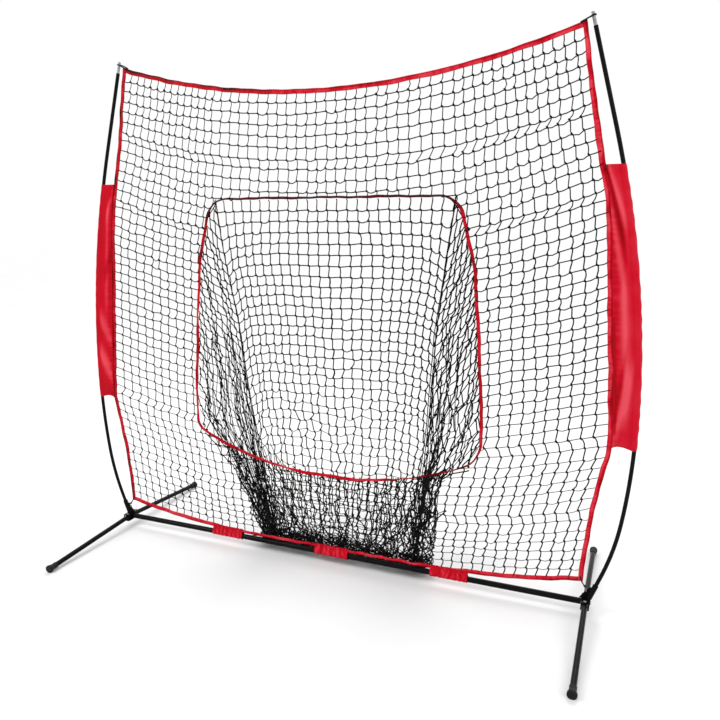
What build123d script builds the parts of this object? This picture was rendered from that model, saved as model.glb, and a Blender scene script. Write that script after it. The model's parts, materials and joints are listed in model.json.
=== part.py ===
from build123d import *
import os
from math import asin, atan2, cos, degrees, pi, radians, sin, tan

os.makedirs("parts", exist_ok=True)

# Pitching target net. Millimetres. +X to the thrower's right, +Y away from the thrower, +Z up.
# The origin is on the ground, below the middle of the crossbar.

# ---- driving dimensions -------------------------------------------------------------------
HUB_X = 1065.0            # half of the 7 ft span between the hubs
HUB_Z = 47.0              # height of the crossbar's axis above the ground
FOOT_Y = 525.0            # reach of each leg, from the crossbar to the end of its foot cap
FOOT_AXIS_Z = 14.8        # height of the leg's axis at the end of its foot cap
TIP_Z = 2083.0            # height of the pole tips above the crossbar's axis

BAR_R, BAR_WALL = 11.6, 1.2
COUPLER_HALF, COUPLER_WALL = 120.0, 1.2
LEG_R, LEG_WALL = 10.5, 1.2
POLE_R, POLE_WALL = 7.4, 1.6
SOCKET_R, SOCKET_LENGTH = 10.2, 62.0
SLIP = 0.25               # clearance of the pole in its socket
FIT = 0.05                # clearance of one tube or cap on another

# ---- shape of the bowed pole, in the plane of the net, heights above the crossbar's axis ---
POLE_BASE_X = HUB_X + 5.0 # where the socket's axis meets the height of the crossbar's axis
SOCKET_TILT = 21.0        # outward lean of the socket, degrees
STRAIGHT_TOP = 105.0      # height where the pole leaves the straight
LOWER_BOW_R = 1040.0      # bend above the socket
MIDDLE_BOW_R = 2620.0     # gentler bend up to the widest point
MIDDLE_BOW_ANGLE = 8.0
UPPER_BOW_R = 3945.0      # bend above the widest point
UPPER_BOW_ANGLE = 15.0    # lean of the pole's straight top
JOINT_ANGLE = 3.2         # where the two pole sections meet, up the upper bend
TIP_LENGTH = 46.0         # chrome tip beyond the black pole
TIP_R = 5.8

LOWER_BOW_ANGLE = SOCKET_TILT - MIDDLE_BOW_ANGLE
STRAIGHT_TOP_X = POLE_BASE_X + STRAIGHT_TOP * tan(radians(SOCKET_TILT))
MIDDLE_BOW_Z = STRAIGHT_TOP + LOWER_BOW_R * (sin(radians(SOCKET_TILT)) - sin(radians(MIDDLE_BOW_ANGLE)))
MIDDLE_BOW_X = STRAIGHT_TOP_X + LOWER_BOW_R * (cos(radians(MIDDLE_BOW_ANGLE)) - cos(radians(SOCKET_TILT)))
WIDEST_Z = MIDDLE_BOW_Z + MIDDLE_BOW_R * sin(radians(MIDDLE_BOW_ANGLE))
WIDEST_X = MIDDLE_BOW_X + MIDDLE_BOW_R * (1 - cos(radians(MIDDLE_BOW_ANGLE)))
BOW_TOP_Z = WIDEST_Z + UPPER_BOW_R * sin(radians(UPPER_BOW_ANGLE))
BOW_TOP_X = WIDEST_X - UPPER_BOW_R * (1 - cos(radians(UPPER_BOW_ANGLE)))
TOP_RUN = (TIP_Z - BOW_TOP_Z) / cos(radians(UPPER_BOW_ANGLE)) - TIP_LENGTH


def bow_point(angle, side):
    """Point on the pole's upper bend, at an angle above its widest point."""
    x = WIDEST_X - UPPER_BOW_R * (1 - cos(radians(angle)))
    return side * x, HUB_Z + WIDEST_Z + UPPER_BOW_R * sin(radians(angle))


def tip_frame(side):
    """Top of the chrome tip, the direction up its axis and the direction away from the net."""
    up = Vector(-side * sin(radians(UPPER_BOW_ANGLE)), 0, cos(radians(UPPER_BOW_ANGLE)))
    out = Vector(side * cos(radians(UPPER_BOW_ANGLE)), 0, sin(radians(UPPER_BOW_ANGLE)))
    return Vector(side * BOW_TOP_X, 0, HUB_Z + BOW_TOP_Z) + up * (TOP_RUN + TIP_LENGTH), up, out


def pole_x(z):
    """Distance of the pole's axis from the middle, anywhere on its middle and upper bends."""
    if z >= WIDEST_Z:
        return WIDEST_X - UPPER_BOW_R * (1 - cos(asin((z - WIDEST_Z) / UPPER_BOW_R)))
    return WIDEST_X - MIDDLE_BOW_R * (1 - cos(asin((WIDEST_Z - z) / MIDDLE_BOW_R)))


def pole_path(side, rise, last_angle, run=0.0):
    """The pole's axis, from a rise above the crossbar's axis to an angle up its upper bend and on."""
    start = (side * (POLE_BASE_X + rise * tan(radians(SOCKET_TILT))), HUB_Z + rise)
    bend_foot = (side * STRAIGHT_TOP_X, HUB_Z + STRAIGHT_TOP)
    with BuildLine(Plane.XZ) as path:
        straight = Line(start, bend_foot)
        lower_bow = JernArc(straight @ 1, straight % 1, LOWER_BOW_R, side * LOWER_BOW_ANGLE)
        middle_bow = JernArc(lower_bow @ 1, lower_bow % 1, MIDDLE_BOW_R, side * MIDDLE_BOW_ANGLE)
        upper_bow = JernArc(middle_bow @ 1, middle_bow % 1, UPPER_BOW_R, side * last_angle)
        if run:
            Line(upper_bow @ 1, (upper_bow @ 1) + (upper_bow % 1) * run)
    return path.wire()


def write(piece, name):
    """Labels a finished piece and writes its STEP file."""
    piece.part.label = name
    export_step(piece.part, f"parts/{name}.step")


# ---- outline of the net, heights above the crossbar's axis --------------------------------
TAPE = 18.0               # width of the edge tape
TAPE_T, NET_T = 3.0, 1.4  # thickness of the tape and of the net
SIDE_EDGE = [             # outer edge of the side tape, from the top corner down
    (947, 2060), (976, 1900), (1001, 1765), (1037, 1600), (1063, 1450), (1077, 1280), (1089, 1110),
    (1106, 880), (1121, 670), (1124, 612), (1104, 550), (1084, 450), (1064, 280), (1050, 82),
]
SLEEVE_ROWS = SIDE_EDGE[3:10]
TOP_SAG_Z = 1915.0        # lowest point of the sagging top edge
BOTTOM_EDGE = [(846, 47), (600, 24), (0, 17)]
FACE_REACH = 200.0        # how far a face used for cutting runs past the net


def side_points(side, inset=0.0, stretch=0.0):
    """Through-points of a side edge, moved inward, with its ends run on past the corners."""
    points = [(side * (x - inset), HUB_Z + z) for x, z in SIDE_EDGE]
    if stretch:
        points = [(points[0][0], points[0][1] + stretch)] + points
        points = points + [(points[-1][0], points[-1][1] - stretch)]
    return points


def top_arc_points(drop=0.0):
    """Left end, middle and right end of the top edge, lowered by a distance."""
    x, z = SIDE_EDGE[0]
    return [(-x, HUB_Z + z - drop), (0, HUB_Z + TOP_SAG_Z - drop), (x, HUB_Z + z - drop)]


def bottom_points(rise=0.0):
    """Through-points of the bottom edge from left to right, raised by a distance."""
    half = [SIDE_EDGE[-1]] + BOTTOM_EDGE
    left = [(-x, HUB_Z + z + rise) for x, z in half]
    return left + [(-x, z) for x, z in reversed(left[:-1])]


def net_outline():
    """Face bounded by the net's four outer edges."""
    with BuildSketch(Plane.XZ) as face:
        with BuildLine():
            ThreePointArc(*top_arc_points())
            Spline(*side_points(1))
            Spline(*bottom_points())
            Spline(*side_points(-1))
        make_face()
    return face.sketch_local


def between_sides():
    """Tall face between the inner edges of the side tapes."""
    with BuildSketch(Plane.XZ) as face:
        with BuildLine():
            right = side_points(1, TAPE, FACE_REACH)
            left = side_points(-1, TAPE, FACE_REACH)
            Spline(*right)
            Line(right[-1], left[-1])
            Spline(*left)
            Line(left[0], right[0])
        make_face()
    return face.sketch_local


def above_net():
    """Face above the inner edge of the top tape."""
    with BuildSketch(Plane.XZ) as face:
        with BuildLine():
            points = top_arc_points(TAPE)
            ThreePointArc(*points)
            far = HUB_Z + TIP_Z + FACE_REACH
            Polyline(points[0], (points[0][0], far), (points[-1][0], far), points[-1])
        make_face()
    return face.sketch_local


def below_net():
    """Face below the inner edge of the bottom tape."""
    with BuildSketch(Plane.XZ) as face:
        with BuildLine():
            points = bottom_points(TAPE)
            Spline(*points)
            far = HUB_Z - FACE_REACH
            Polyline(points[0], (points[0][0], far), (points[-1][0], far), points[-1])
        make_face()
    return face.sketch_local


# ---- opening in the net -------------------------------------------------------------------
TRIM_W = 10.0             # width of the red trim round the opening
OPENING_HALF = [          # right half of the opening, from the top: x, height, radius of the corner
    (530, 1500, 70), (594, 1245, 400), (617, 1000, 900), (641, 640, 800), (640, 505, 60), (500, 440, 500),
    (290, 380, 700), (110, 359, 600),
]


def opening_outline(grow=0.0):
    """Face of the opening, grown by a distance."""
    right = [(x, HUB_Z + z) for x, z, _ in OPENING_HALF]
    left = [(-x, z) for x, z in reversed(right)]
    radii = [radius for _, _, radius in OPENING_HALF]
    with BuildSketch(Plane.XZ) as face:
        with BuildLine():
            FilletPolyline(*right, *left, radius=radii + radii[::-1], close=True)
        make_face()
        if grow:
            offset(amount=grow, kind=Kind.ARC, mode=Mode.REPLACE)
    return face.sketch_local


# ==== crossbar =============================================================================
BAR_END = 11.0            # the bar runs this far past the hub's centre
BUTTON_X, BUTTON_R = 100.0, 3.0
BUTTON_SLIP = 0.2         # clearance of the button in its holes

for side, name in ((-1, "left"), (1, "right")):
    with BuildPart() as crossbar:
        with BuildSketch(Plane.YZ.offset(0 if side > 0 else -(HUB_X + BAR_END))):
            with Locations((0, HUB_Z)):
                Circle(BAR_R)
                Circle(BAR_R - BAR_WALL, mode=Mode.SUBTRACT)
        extrude(amount=HUB_X + BAR_END)
        if side > 0:
            with BuildSketch(Plane.XY):
                with Locations((BUTTON_X, 0)):
                    Circle(BUTTON_R + BUTTON_SLIP)
            extrude(amount=HUB_Z, mode=Mode.SUBTRACT)
    write(crossbar, f"crossbar_{name}")

with BuildPart() as crossbar_coupler:
    with BuildSketch(Plane.YZ.offset(-COUPLER_HALF)):
        with Locations((0, HUB_Z)):
            Circle(BAR_R - BAR_WALL - FIT)
            Circle(BAR_R - BAR_WALL - FIT - COUPLER_WALL, mode=Mode.SUBTRACT)
    extrude(amount=2 * COUPLER_HALF)
    with BuildSketch(Plane.XY):
        with Locations((BUTTON_X, 0)):
            Circle(BUTTON_R + BUTTON_SLIP)
    extrude(amount=HUB_Z, mode=Mode.SUBTRACT)
write(crossbar_coupler, "crossbar_coupler")

SPRING_T, SPRING_W, SPRING_BEND_R = 0.8, 8.0, 4.0
SPRING_START, SPRING_END = BUTTON_X - 6.0, BUTTON_X + 23.0
SPRING_HALF = 5.6         # each leaf's height from the bar's axis; the button stands on the lower one
BUTTON_RISE, BUTTON_CHAMFER = 2.0, 0.8
with BuildPart() as crossbar_button:
    with BuildSketch(Plane.XY.offset(HUB_Z - BAR_R - BUTTON_RISE)):
        with Locations((BUTTON_X, 0)):
            Circle(BUTTON_R)
    extrude(amount=BAR_R + BUTTON_RISE - SPRING_HALF)
    chamfer(crossbar_button.faces().sort_by(Axis.Z)[0].edges(), BUTTON_CHAMFER)
    with BuildSketch(Plane.XZ.offset(-SPRING_W / 2)):
        with BuildLine():
            FilletPolyline(
                (SPRING_START, HUB_Z - SPRING_HALF), (SPRING_END, HUB_Z - SPRING_HALF),
                (SPRING_END, HUB_Z + SPRING_HALF), (SPRING_START, HUB_Z + SPRING_HALF), radius=SPRING_BEND_R,
            )
            offset(amount=SPRING_T / 2, side=Side.BOTH)
        make_face()
    extrude(amount=SPRING_W)
write(crossbar_button, "crossbar_button")

PLUG_R, PLUG_HEAD, PLUG_ROUND, PLUG_DEPTH = 9.0, 8.0, 3.5, 18.0
for side, name in ((-1, "left"), (1, "right")):
    with BuildPart() as bar_end_plug:
        with BuildSketch(Plane(origin=(side * (HUB_X + BAR_END), 0, HUB_Z), z_dir=(side, 0, 0))):
            Circle(BAR_R)
        extrude(amount=PLUG_HEAD, taper=degrees(atan2(BAR_R - PLUG_R, PLUG_HEAD)))
        rims = bar_end_plug.edges().filter_by(GeomType.CIRCLE).sort_by(Axis.X)
        fillet(rims[-1 if side > 0 else 0], PLUG_ROUND)
        with BuildSketch(Plane(origin=(side * (HUB_X + BAR_END), 0, HUB_Z), z_dir=(-side, 0, 0))):
            Circle(BAR_R - BAR_WALL - FIT)
        extrude(amount=PLUG_DEPTH)
    write(bar_end_plug, f"bar_end_plug_{name}")

# ==== hubs =================================================================================
PIVOT_Y = 26.0            # distance of each leg's pivot bolt from the crossbar's axis
PLATE_T, PLATE_W, PLATE_LENGTH, PLATE_CORNER_R = 3.0, 32.0, 79.0, 5.0
PIVOT_R = 3.0             # radius of the pivot bolt's shank
STOP_Y, STOP_W, STOP_T = 37.3, 4.0, 3.0
STOP_GAP = 0.4            # the open leg lies this far from its stop
PLATE_TOP = HUB_Z + BAR_R + PLATE_T
SOCKET_FLOOR = 6.0        # solid foot of the socket, below the pole's end
GUSSET_T, GUSSET_RISE = 3.0, 48.0
GUSSET_FOOT_W, GUSSET_TOP_W = 24.0, 8.0
GUSSET_GAP = 0.15         # clearance of the gusset from the socket
HOOK_HOLE_X, HOOK_HOLE_Z, HOOK_HOLE_R = HUB_X + 0.5, HUB_Z + 44.0, 2.4

for side, name in ((-1, "left"), (1, "right")):
    with BuildPart() as hub_bracket:
        for bottom in (HUB_Z + BAR_R, HUB_Z - BAR_R - PLATE_T):
            with BuildSketch(Plane.XY.offset(bottom)):
                with Locations((side * HUB_X, 0)):
                    RectangleRounded(PLATE_W, PLATE_LENGTH, PLATE_CORNER_R)
                with Locations((side * HUB_X, PIVOT_Y), (side * HUB_X, -PIVOT_Y)):
                    Circle(PIVOT_R + FIT, mode=Mode.SUBTRACT)
            extrude(amount=PLATE_T)
        stop_x = side * (HUB_X + LEG_R + STOP_GAP + STOP_T / 2)
        with BuildSketch(Plane.XY.offset(HUB_Z - BAR_R)):
            with Locations((stop_x, STOP_Y), (stop_x, -STOP_Y)):
                Rectangle(STOP_T, STOP_W)
        extrude(amount=2 * BAR_R)
    write(hub_bracket, f"hub_bracket_{name}")

    lean = tan(radians(SOCKET_TILT))
    foot_x = POLE_BASE_X + (PLATE_TOP - HUB_Z) * lean
    socket_foot = Vector(side * foot_x, 0, PLATE_TOP)
    socket_axis = Vector(side * sin(radians(SOCKET_TILT)), 0, cos(radians(SOCKET_TILT)))
    with BuildPart() as pole_socket:
        with BuildSketch(Plane(origin=socket_foot - socket_axis * SOCKET_FLOOR, z_dir=socket_axis)):
            Circle(SOCKET_R)
        extrude(amount=SOCKET_LENGTH + SOCKET_FLOOR)
        with BuildSketch(Plane(origin=socket_foot + socket_axis * SOCKET_FLOOR, z_dir=socket_axis)):
            Circle(POLE_R + SLIP)
        extrude(amount=SOCKET_LENGTH, mode=Mode.SUBTRACT)
        split(bisect_by=Plane.XY.offset(PLATE_TOP), keep=Keep.TOP)
    write(pole_socket, f"pole_socket_{name}")

    near_x = foot_x - SOCKET_R / cos(radians(SOCKET_TILT)) - GUSSET_GAP
    top_x, top_z = near_x + GUSSET_RISE * lean, PLATE_TOP + GUSSET_RISE
    with BuildPart() as gusset:
        with BuildSketch(Plane.XZ.offset(-GUSSET_T / 2)):
            Polygon(
                (side * near_x, PLATE_TOP), (side * top_x, top_z), (side * (top_x - GUSSET_TOP_W), top_z),
                (side * (near_x - GUSSET_FOOT_W), PLATE_TOP), align=None,
            )
            with Locations((side * HOOK_HOLE_X, HOOK_HOLE_Z)):
                Circle(HOOK_HOLE_R, mode=Mode.SUBTRACT)
        extrude(amount=GUSSET_T)
    write(gusset, f"gusset_{name}")

# ==== pivot bolts and nuts =================================================================
pivots = [(sx * HUB_X, sy * PIVOT_Y) for sx in (-1, 1) for sy in (-1, 1)]
BOLT_HEAD_R, BOLT_HEAD_H, BOLT_HEAD_ROUND = 6.0, 3.6, 2.6
NUT_AF, NUT_H = 10.0, 5.0
BOLT_END = 1.0            # the bolt stands this far out of its nut
PLATE_BOTTOM = HUB_Z - BAR_R - PLATE_T
with BuildPart() as leg_pivot_bolts:
    with BuildSketch(Plane.XY.offset(PLATE_BOTTOM - NUT_H - BOLT_END)):
        with Locations(*pivots):
            Circle(PIVOT_R)
    extrude(amount=PLATE_TOP - PLATE_BOTTOM + NUT_H + BOLT_END)
    with BuildSketch(Plane.XY.offset(PLATE_TOP)):
        with Locations(*pivots):
            Circle(BOLT_HEAD_R)
    extrude(amount=BOLT_HEAD_H)
    fillet(leg_pivot_bolts.faces().filter_by(Axis.Z).group_by(Axis.Z)[-1].edges(), BOLT_HEAD_ROUND)
write(leg_pivot_bolts, "leg_pivot_bolts")

with BuildPart() as leg_pivot_nuts:
    with BuildSketch(Plane.XY.offset(PLATE_BOTTOM - NUT_H)):
        with Locations(*pivots):
            RegularPolygon(NUT_AF / 2, 6, major_radius=False)
            Circle(PIVOT_R + FIT, mode=Mode.SUBTRACT)
    extrude(amount=NUT_H)
write(leg_pivot_nuts, "leg_pivot_nuts")

# ==== legs and foot caps ===================================================================
LEG_HEEL = 8.0            # the leg runs this far past its pivot, towards the crossbar
LEG_RISE = 0.4            # at its pivot the leg is above mid-height, so it clears the lower plate's corner
LEG_FALL = degrees(atan2(HUB_Z + LEG_RISE - FOOT_AXIS_Z, FOOT_Y - PIVOT_Y))
LEG_REACH = (FOOT_Y - PIVOT_Y) / cos(radians(LEG_FALL))
CAP_LENGTH, CAP_BASE, CAP_WALL = 42.0, 6.0, 1.8
CAP_FLARE_R, CAP_LIP = 16.5, 2.0
CAP_FLARE_LENGTH, CAP_NECK_START, CAP_NECK_R = 9.0, 20.0, LEG_R + FIT + CAP_WALL
PIVOT_SLIP = 0.08         # running clearance of the leg on its pivot bolt

for sx, x_name in ((-1, "left"), (1, "right")):
    for sy, y_name in ((-1, "front"), (1, "rear")):
        along = Vector(0, sy * cos(radians(LEG_FALL)), -sin(radians(LEG_FALL)))
        pivot = Vector(sx * HUB_X, sy * PIVOT_Y, HUB_Z + LEG_RISE)
        with BuildPart() as leg:
            with BuildSketch(Plane(origin=pivot - along * LEG_HEEL, z_dir=along)):
                Circle(LEG_R)
                Circle(LEG_R - LEG_WALL, mode=Mode.SUBTRACT)
            extrude(amount=LEG_HEEL + LEG_REACH - CAP_BASE)
            with BuildSketch(Plane.XY):
                with Locations((pivot.X, pivot.Y)):
                    Circle(PIVOT_R + PIVOT_SLIP)
            extrude(amount=2 * HUB_Z, mode=Mode.SUBTRACT)
        write(leg, f"leg_{y_name}_{x_name}")

        end = pivot + along * LEG_REACH
        with BuildPart() as foot_cap:
            with BuildSketch(Plane(origin=end, x_dir=(1, 0, 0), z_dir=(-along).cross(Vector(1, 0, 0)))):
                with BuildLine():
                    rim = Line((0, 0), (CAP_FLARE_R - CAP_LIP, 0))
                    lip = JernArc(rim @ 1, rim % 1, CAP_LIP, -90)
                    flare = Line(lip @ 1, (CAP_FLARE_R, -CAP_FLARE_LENGTH))
                    neck = Spline(flare @ 1, (CAP_NECK_R + 0.6, -CAP_NECK_START), (CAP_NECK_R, -CAP_LENGTH),
                                  tangents=[(-0.5, -1), (0, -1)])
                    inner = LEG_R + FIT
                    Polyline(neck @ 1, (inner, -CAP_LENGTH), (inner, -CAP_BASE), (0, -CAP_BASE), (0, 0))
                make_face()
            revolve(axis=Axis(end, along))
            split(bisect_by=Plane.XY, keep=Keep.TOP)
        write(foot_cap, f"foot_cap_{y_name}_{x_name}")

# ==== poles ================================================================================
POLE_FOOT_RISE = BAR_R + PLATE_T + 7.0
SPIGOT_R, SPIGOT_HALF = POLE_R - POLE_WALL - FIT, 60.0
PLUG_IN = 28.0            # the tip's shank reaches this far into the pole
SHANK_R, TIP_GAP = SPIGOT_R - 0.15, 0.1
GROOVE_DROP, GROOVE_H, GROOVE_R, GROOVE_SLOPE = 12.0, 6.0, 4.6, 1.2
TIP_CHAMFER = 1.0

for side, name in ((-1, "left"), (1, "right")):
    lower_path = pole_path(side, POLE_FOOT_RISE, JOINT_ANGLE)
    with BuildPart() as pole_lower:
        with BuildSketch(Plane(origin=lower_path @ 0, z_dir=lower_path % 0)):
            Circle(POLE_R)
            Circle(POLE_R - POLE_WALL, mode=Mode.SUBTRACT)
        sweep(path=lower_path)
    write(pole_lower, f"pole_lower_{name}")

    joint_tangent = (-side * sin(radians(JOINT_ANGLE)), cos(radians(JOINT_ANGLE)))
    with BuildPart() as pole_upper:
        with BuildLine(Plane.XZ) as path:
            bow = JernArc(bow_point(JOINT_ANGLE, side), joint_tangent, UPPER_BOW_R,
                          side * (UPPER_BOW_ANGLE - JOINT_ANGLE))
            Line(bow @ 1, (bow @ 1) + (bow % 1) * TOP_RUN)
        with BuildSketch(Plane(origin=path.line @ 0, z_dir=path.line % 0)):
            Circle(POLE_R)
            Circle(POLE_R - POLE_WALL, mode=Mode.SUBTRACT)
        sweep(path=path.wire())
    write(pole_upper, f"pole_upper_{name}")

    spigot_start = JOINT_ANGLE - degrees(SPIGOT_HALF / UPPER_BOW_R)
    spigot_tangent = (-side * sin(radians(spigot_start)), cos(radians(spigot_start)))
    with BuildPart() as pole_spigot:
        with BuildLine(Plane.XZ) as path:
            JernArc(bow_point(spigot_start, side), spigot_tangent, UPPER_BOW_R,
                    side * degrees(2 * SPIGOT_HALF / UPPER_BOW_R))
        with BuildSketch(Plane(origin=path.line @ 0, z_dir=path.line % 0)):
            Circle(SPIGOT_R)
        sweep(path=path.line)
    write(pole_spigot, f"pole_spigot_{name}")

    tip_top, up, _ = tip_frame(side)
    tip_down = -up
    groove_top, groove_bottom = -GROOVE_DROP + GROOVE_H / 2, -GROOVE_DROP - GROOVE_H / 2
    with BuildPart() as pole_tip:
        with BuildSketch(Plane(origin=tip_top, x_dir=(0, 1, 0), z_dir=tip_down.cross(Vector(0, 1, 0)))):
            with BuildLine():
                Polyline(
                    (0, 0), (TIP_R - TIP_CHAMFER, 0), (TIP_R, -TIP_CHAMFER), (TIP_R, groove_top),
                    (GROOVE_R, groove_top - GROOVE_SLOPE), (GROOVE_R, groove_bottom + GROOVE_SLOPE),
                    (TIP_R, groove_bottom), (TIP_R, -TIP_LENGTH + TIP_GAP), (SHANK_R, -TIP_LENGTH + TIP_GAP),
                    (SHANK_R, -TIP_LENGTH - PLUG_IN), (0, -TIP_LENGTH - PLUG_IN), (0, 0),
                )
            make_face()
        revolve(axis=Axis(tip_top, tip_down))
    write(pole_tip, f"pole_tip_{name}")

# ==== net panel, edge tapes and opening trim ===============================================
outline, column = net_outline(), between_sides()
above, below = above_net(), below_net()
opening, opening_grown = opening_outline(), opening_outline(TRIM_W)

for side, name in ((-1, "left"), (1, "right")):
    with BuildPart() as side_tape:
        with BuildSketch(Plane.XZ.offset(-TAPE_T / 2)):
            add(outline)
            add(column, mode=Mode.SUBTRACT)
        extrude(amount=TAPE_T)
        split(bisect_by=Plane.YZ, keep=Keep.TOP if side > 0 else Keep.BOTTOM)
    write(side_tape, f"edge_tape_{name}")

for band_face, name in ((above, "top"), (below, "bottom")):
    with BuildPart() as edge_tape:
        with BuildSketch(Plane.XZ.offset(-TAPE_T / 2)):
            add(outline)
            add(column, mode=Mode.INTERSECT)
            add(band_face, mode=Mode.INTERSECT)
        extrude(amount=TAPE_T)
    write(edge_tape, f"edge_tape_{name}")

with BuildPart() as net_panel:
    with BuildSketch(Plane.XZ.offset(-NET_T / 2)):
        add(outline)
        add(column, mode=Mode.INTERSECT)
        for face in (above, below, opening_grown):
            add(face, mode=Mode.SUBTRACT)
    extrude(amount=NET_T)
write(net_panel, "net_panel")

with BuildPart() as opening_trim:
    with BuildSketch(Plane.XZ.offset(-TAPE_T / 2)):
        add(opening_grown)
        add(opening, mode=Mode.SUBTRACT)
    extrude(amount=TAPE_T)
write(opening_trim, "opening_trim")

# ==== pocket ===============================================================================
# A limp bag behind the opening. Each row is its height above the crossbar's axis, the half
# widths of its front and back and the distances of its front and back from the net's plane.
POCKET_T = 2.5
POCKET_GAP = TAPE_T / 2 + 0.1
POCKET_BEHIND_BAR = 26.0
POCKET_ROWS = [
    (1516, 540, 516, POCKET_GAP, 14), (1230, 608, 483, POCKET_GAP, 30), (1000, 631, 448, POCKET_GAP, 50),
    (640, 655, 420, POCKET_GAP, 82), (490, 653, 405, POCKET_GAP, 94), (380, 585, 390, POCKET_GAP, 104),
    (250, 470, 370, 10, 116), (50, 390, 345, POCKET_BEHIND_BAR, 140), (-44, 380, 345, POCKET_BEHIND_BAR, 150),
]


def pocket_body(inset):
    """Loft through the pocket's rows, with every wall moved in by a distance."""
    with BuildPart() as body:
        for z, front, back, near, far in POCKET_ROWS:
            level = HUB_Z + z
            if z == POCKET_ROWS[-1][0]:
                level += inset
            if z == POCKET_ROWS[0][0]:
                level -= inset
            slant = (front - back) / (far - near)
            along, across = inset * slant, inset * (1 + slant ** 2) ** 0.5
            front_x, back_x = front - along - across, back + along - across
            with BuildSketch(Plane.XY.offset(level)):
                Polygon(
                    (-front_x, near + inset), (front_x, near + inset),
                    (back_x, far - inset), (-back_x, far - inset), align=None,
                )
        loft(ruled=True)
    return body.part


pocket_outside, pocket_inside = pocket_body(0), pocket_body(POCKET_T)
with BuildPart() as pocket_net:
    add(pocket_outside)
    add(pocket_inside, mode=Mode.SUBTRACT)
    with BuildSketch(Plane.XZ.offset(-POCKET_GAP - 1.1 * POCKET_T)):
        add(opening)
    extrude(amount=1.5 * POCKET_T, mode=Mode.SUBTRACT)
write(pocket_net, "pocket_net")

# ==== side sleeves =========================================================================
SLEEVE_R, SLEEVE_BORE_R = 8.8, 7.6
SLEEVE_EDGE_T, SLEEVE_SEAM = 2.4, 2.0

for side, name in ((-1, "left"), (1, "right")):
    bore_path = pole_path(side, POLE_FOOT_RISE, UPPER_BOW_ANGLE)
    with BuildPart() as side_sleeve:
        for edge_x, z in SLEEVE_ROWS:
            with BuildSketch(Plane.XY.offset(HUB_Z + z)):
                with BuildLine():
                    near = side * (edge_x + SLEEVE_SEAM)
                    far = side * pole_x(z)
                    half = SLEEVE_EDGE_T / 2
                    front = Line((near, -half), (far, -SLEEVE_R))
                    round_end = ThreePointArc(front @ 1, (far + side * SLEEVE_R, 0), (far, SLEEVE_R))
                    Polyline(round_end @ 1, (near, half), (near, -half))
                make_face()
        loft()
        with BuildSketch(Plane(origin=bore_path @ 0, z_dir=bore_path % 0)):
            Circle(SLEEVE_BORE_R)
        sweep(path=bore_path, mode=Mode.SUBTRACT)
    write(side_sleeve, f"side_sleeve_{name}")

# ==== wraps that hold the net's lower edge to the crossbar =================================
WRAP_LENGTH, WRAP_R, WRAP_BORE_GAP = 156.0, 14.5, 0.3
WRAP_FLAP_TOP, WRAP_FLAP_T, WRAP_FLAP_STRAIGHT = 34.0, 2.2, 8.0
WRAP_SHOULDER_Y, WRAP_SHOULDER_Z = 13.3, 5.6
WRAP_SIDE_X, WRAP_SHIFT = 522.0, 12.0

for middle, name in ((-WRAP_SIDE_X, "left"), (0.0, "middle"), (WRAP_SIDE_X, "right")):
    slit = TAPE_T + WRAP_BORE_GAP
    flap = slit / 2 + WRAP_FLAP_T
    with BuildPart() as bar_wrap:
        with BuildSketch(Plane.YZ.offset(middle + WRAP_SHIFT - WRAP_LENGTH / 2)):
            with Locations((0, HUB_Z)):
                Circle(WRAP_R)
                Polygon((-WRAP_SHOULDER_Y, WRAP_SHOULDER_Z), (WRAP_SHOULDER_Y, WRAP_SHOULDER_Z),
                        (flap, WRAP_FLAP_TOP - WRAP_FLAP_STRAIGHT), (flap, WRAP_FLAP_TOP),
                        (-flap, WRAP_FLAP_TOP), (-flap, WRAP_FLAP_TOP - WRAP_FLAP_STRAIGHT), align=None)
                Circle(BAR_R + WRAP_BORE_GAP, mode=Mode.SUBTRACT)
                with Locations((0, WRAP_FLAP_TOP / 2)):
                    Rectangle(slit, WRAP_FLAP_TOP, mode=Mode.SUBTRACT)
        extrude(amount=WRAP_LENGTH)
    write(bar_wrap, f"bar_wrap_{name}")

# ==== corner cords =========================================================================
LOOP_CORD_R = 2.5
LOOP_R = GROOVE_R + LOOP_CORD_R + 0.2
LOOP_REACH, LOOP_FALL = 44.0, 8.0   # from the pole tip's axis to where the loop is sewn to the net
LOOP_NECK = 14.0          # from the tip's axis to where the loop's two sides draw in
LOOP_END_GAP, LOOP_NECK_GAP, LOOP_BEND_SLACK = 0.3, 0.1, 0.3
LOOP_SIDE_BEND_R = 30.0
CORD_R = 2.25             # cord at the net's lower corners
CORD_Y = -4.2             # the cord and its ball lie just in front of the net and the gusset
CORD_ROUTE = [(1041, 149), (1043.5, 136), (1050, 124)]
BALL_R, BALL_HALF, BALL_ROUND = 4.8, 4.2, 2.4
BALL_DX, BALL_Z = -5.0, 112.0
LEAD_X, LEAD_Z = 0.66, -0.75        # direction of the ball's bore
WIRE_R, WIRE_BENDS = 1.2, [2.0, 2.6, 2.6]
WIRE_RUN, WIRE_TAIL = 3.5, 6.0


def print_cord(name, path, radius, piece, radii):
    """Prints a cord's length, its arc radii and how its volume compares with length times section."""
    share = piece.part.volume / (path.length * pi * radius ** 2)
    print(name, "length", round(path.length, 1), "radii", [round(r, 1) for r in radii],
          "volume share", round(share, 4))


def arc_radii(route):
    """Largest arc that each corner of a route allows: 0.45 of its shorter run over tan of half the turn."""
    radii = []
    for before, at, after in zip(route, route[1:], route[2:]):
        shorter = min((at - before).length, (after - at).length)
        radii.append(0.45 * shorter / tan(radians((at - before).get_angle(after - at)) / 2))
    return radii


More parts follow.
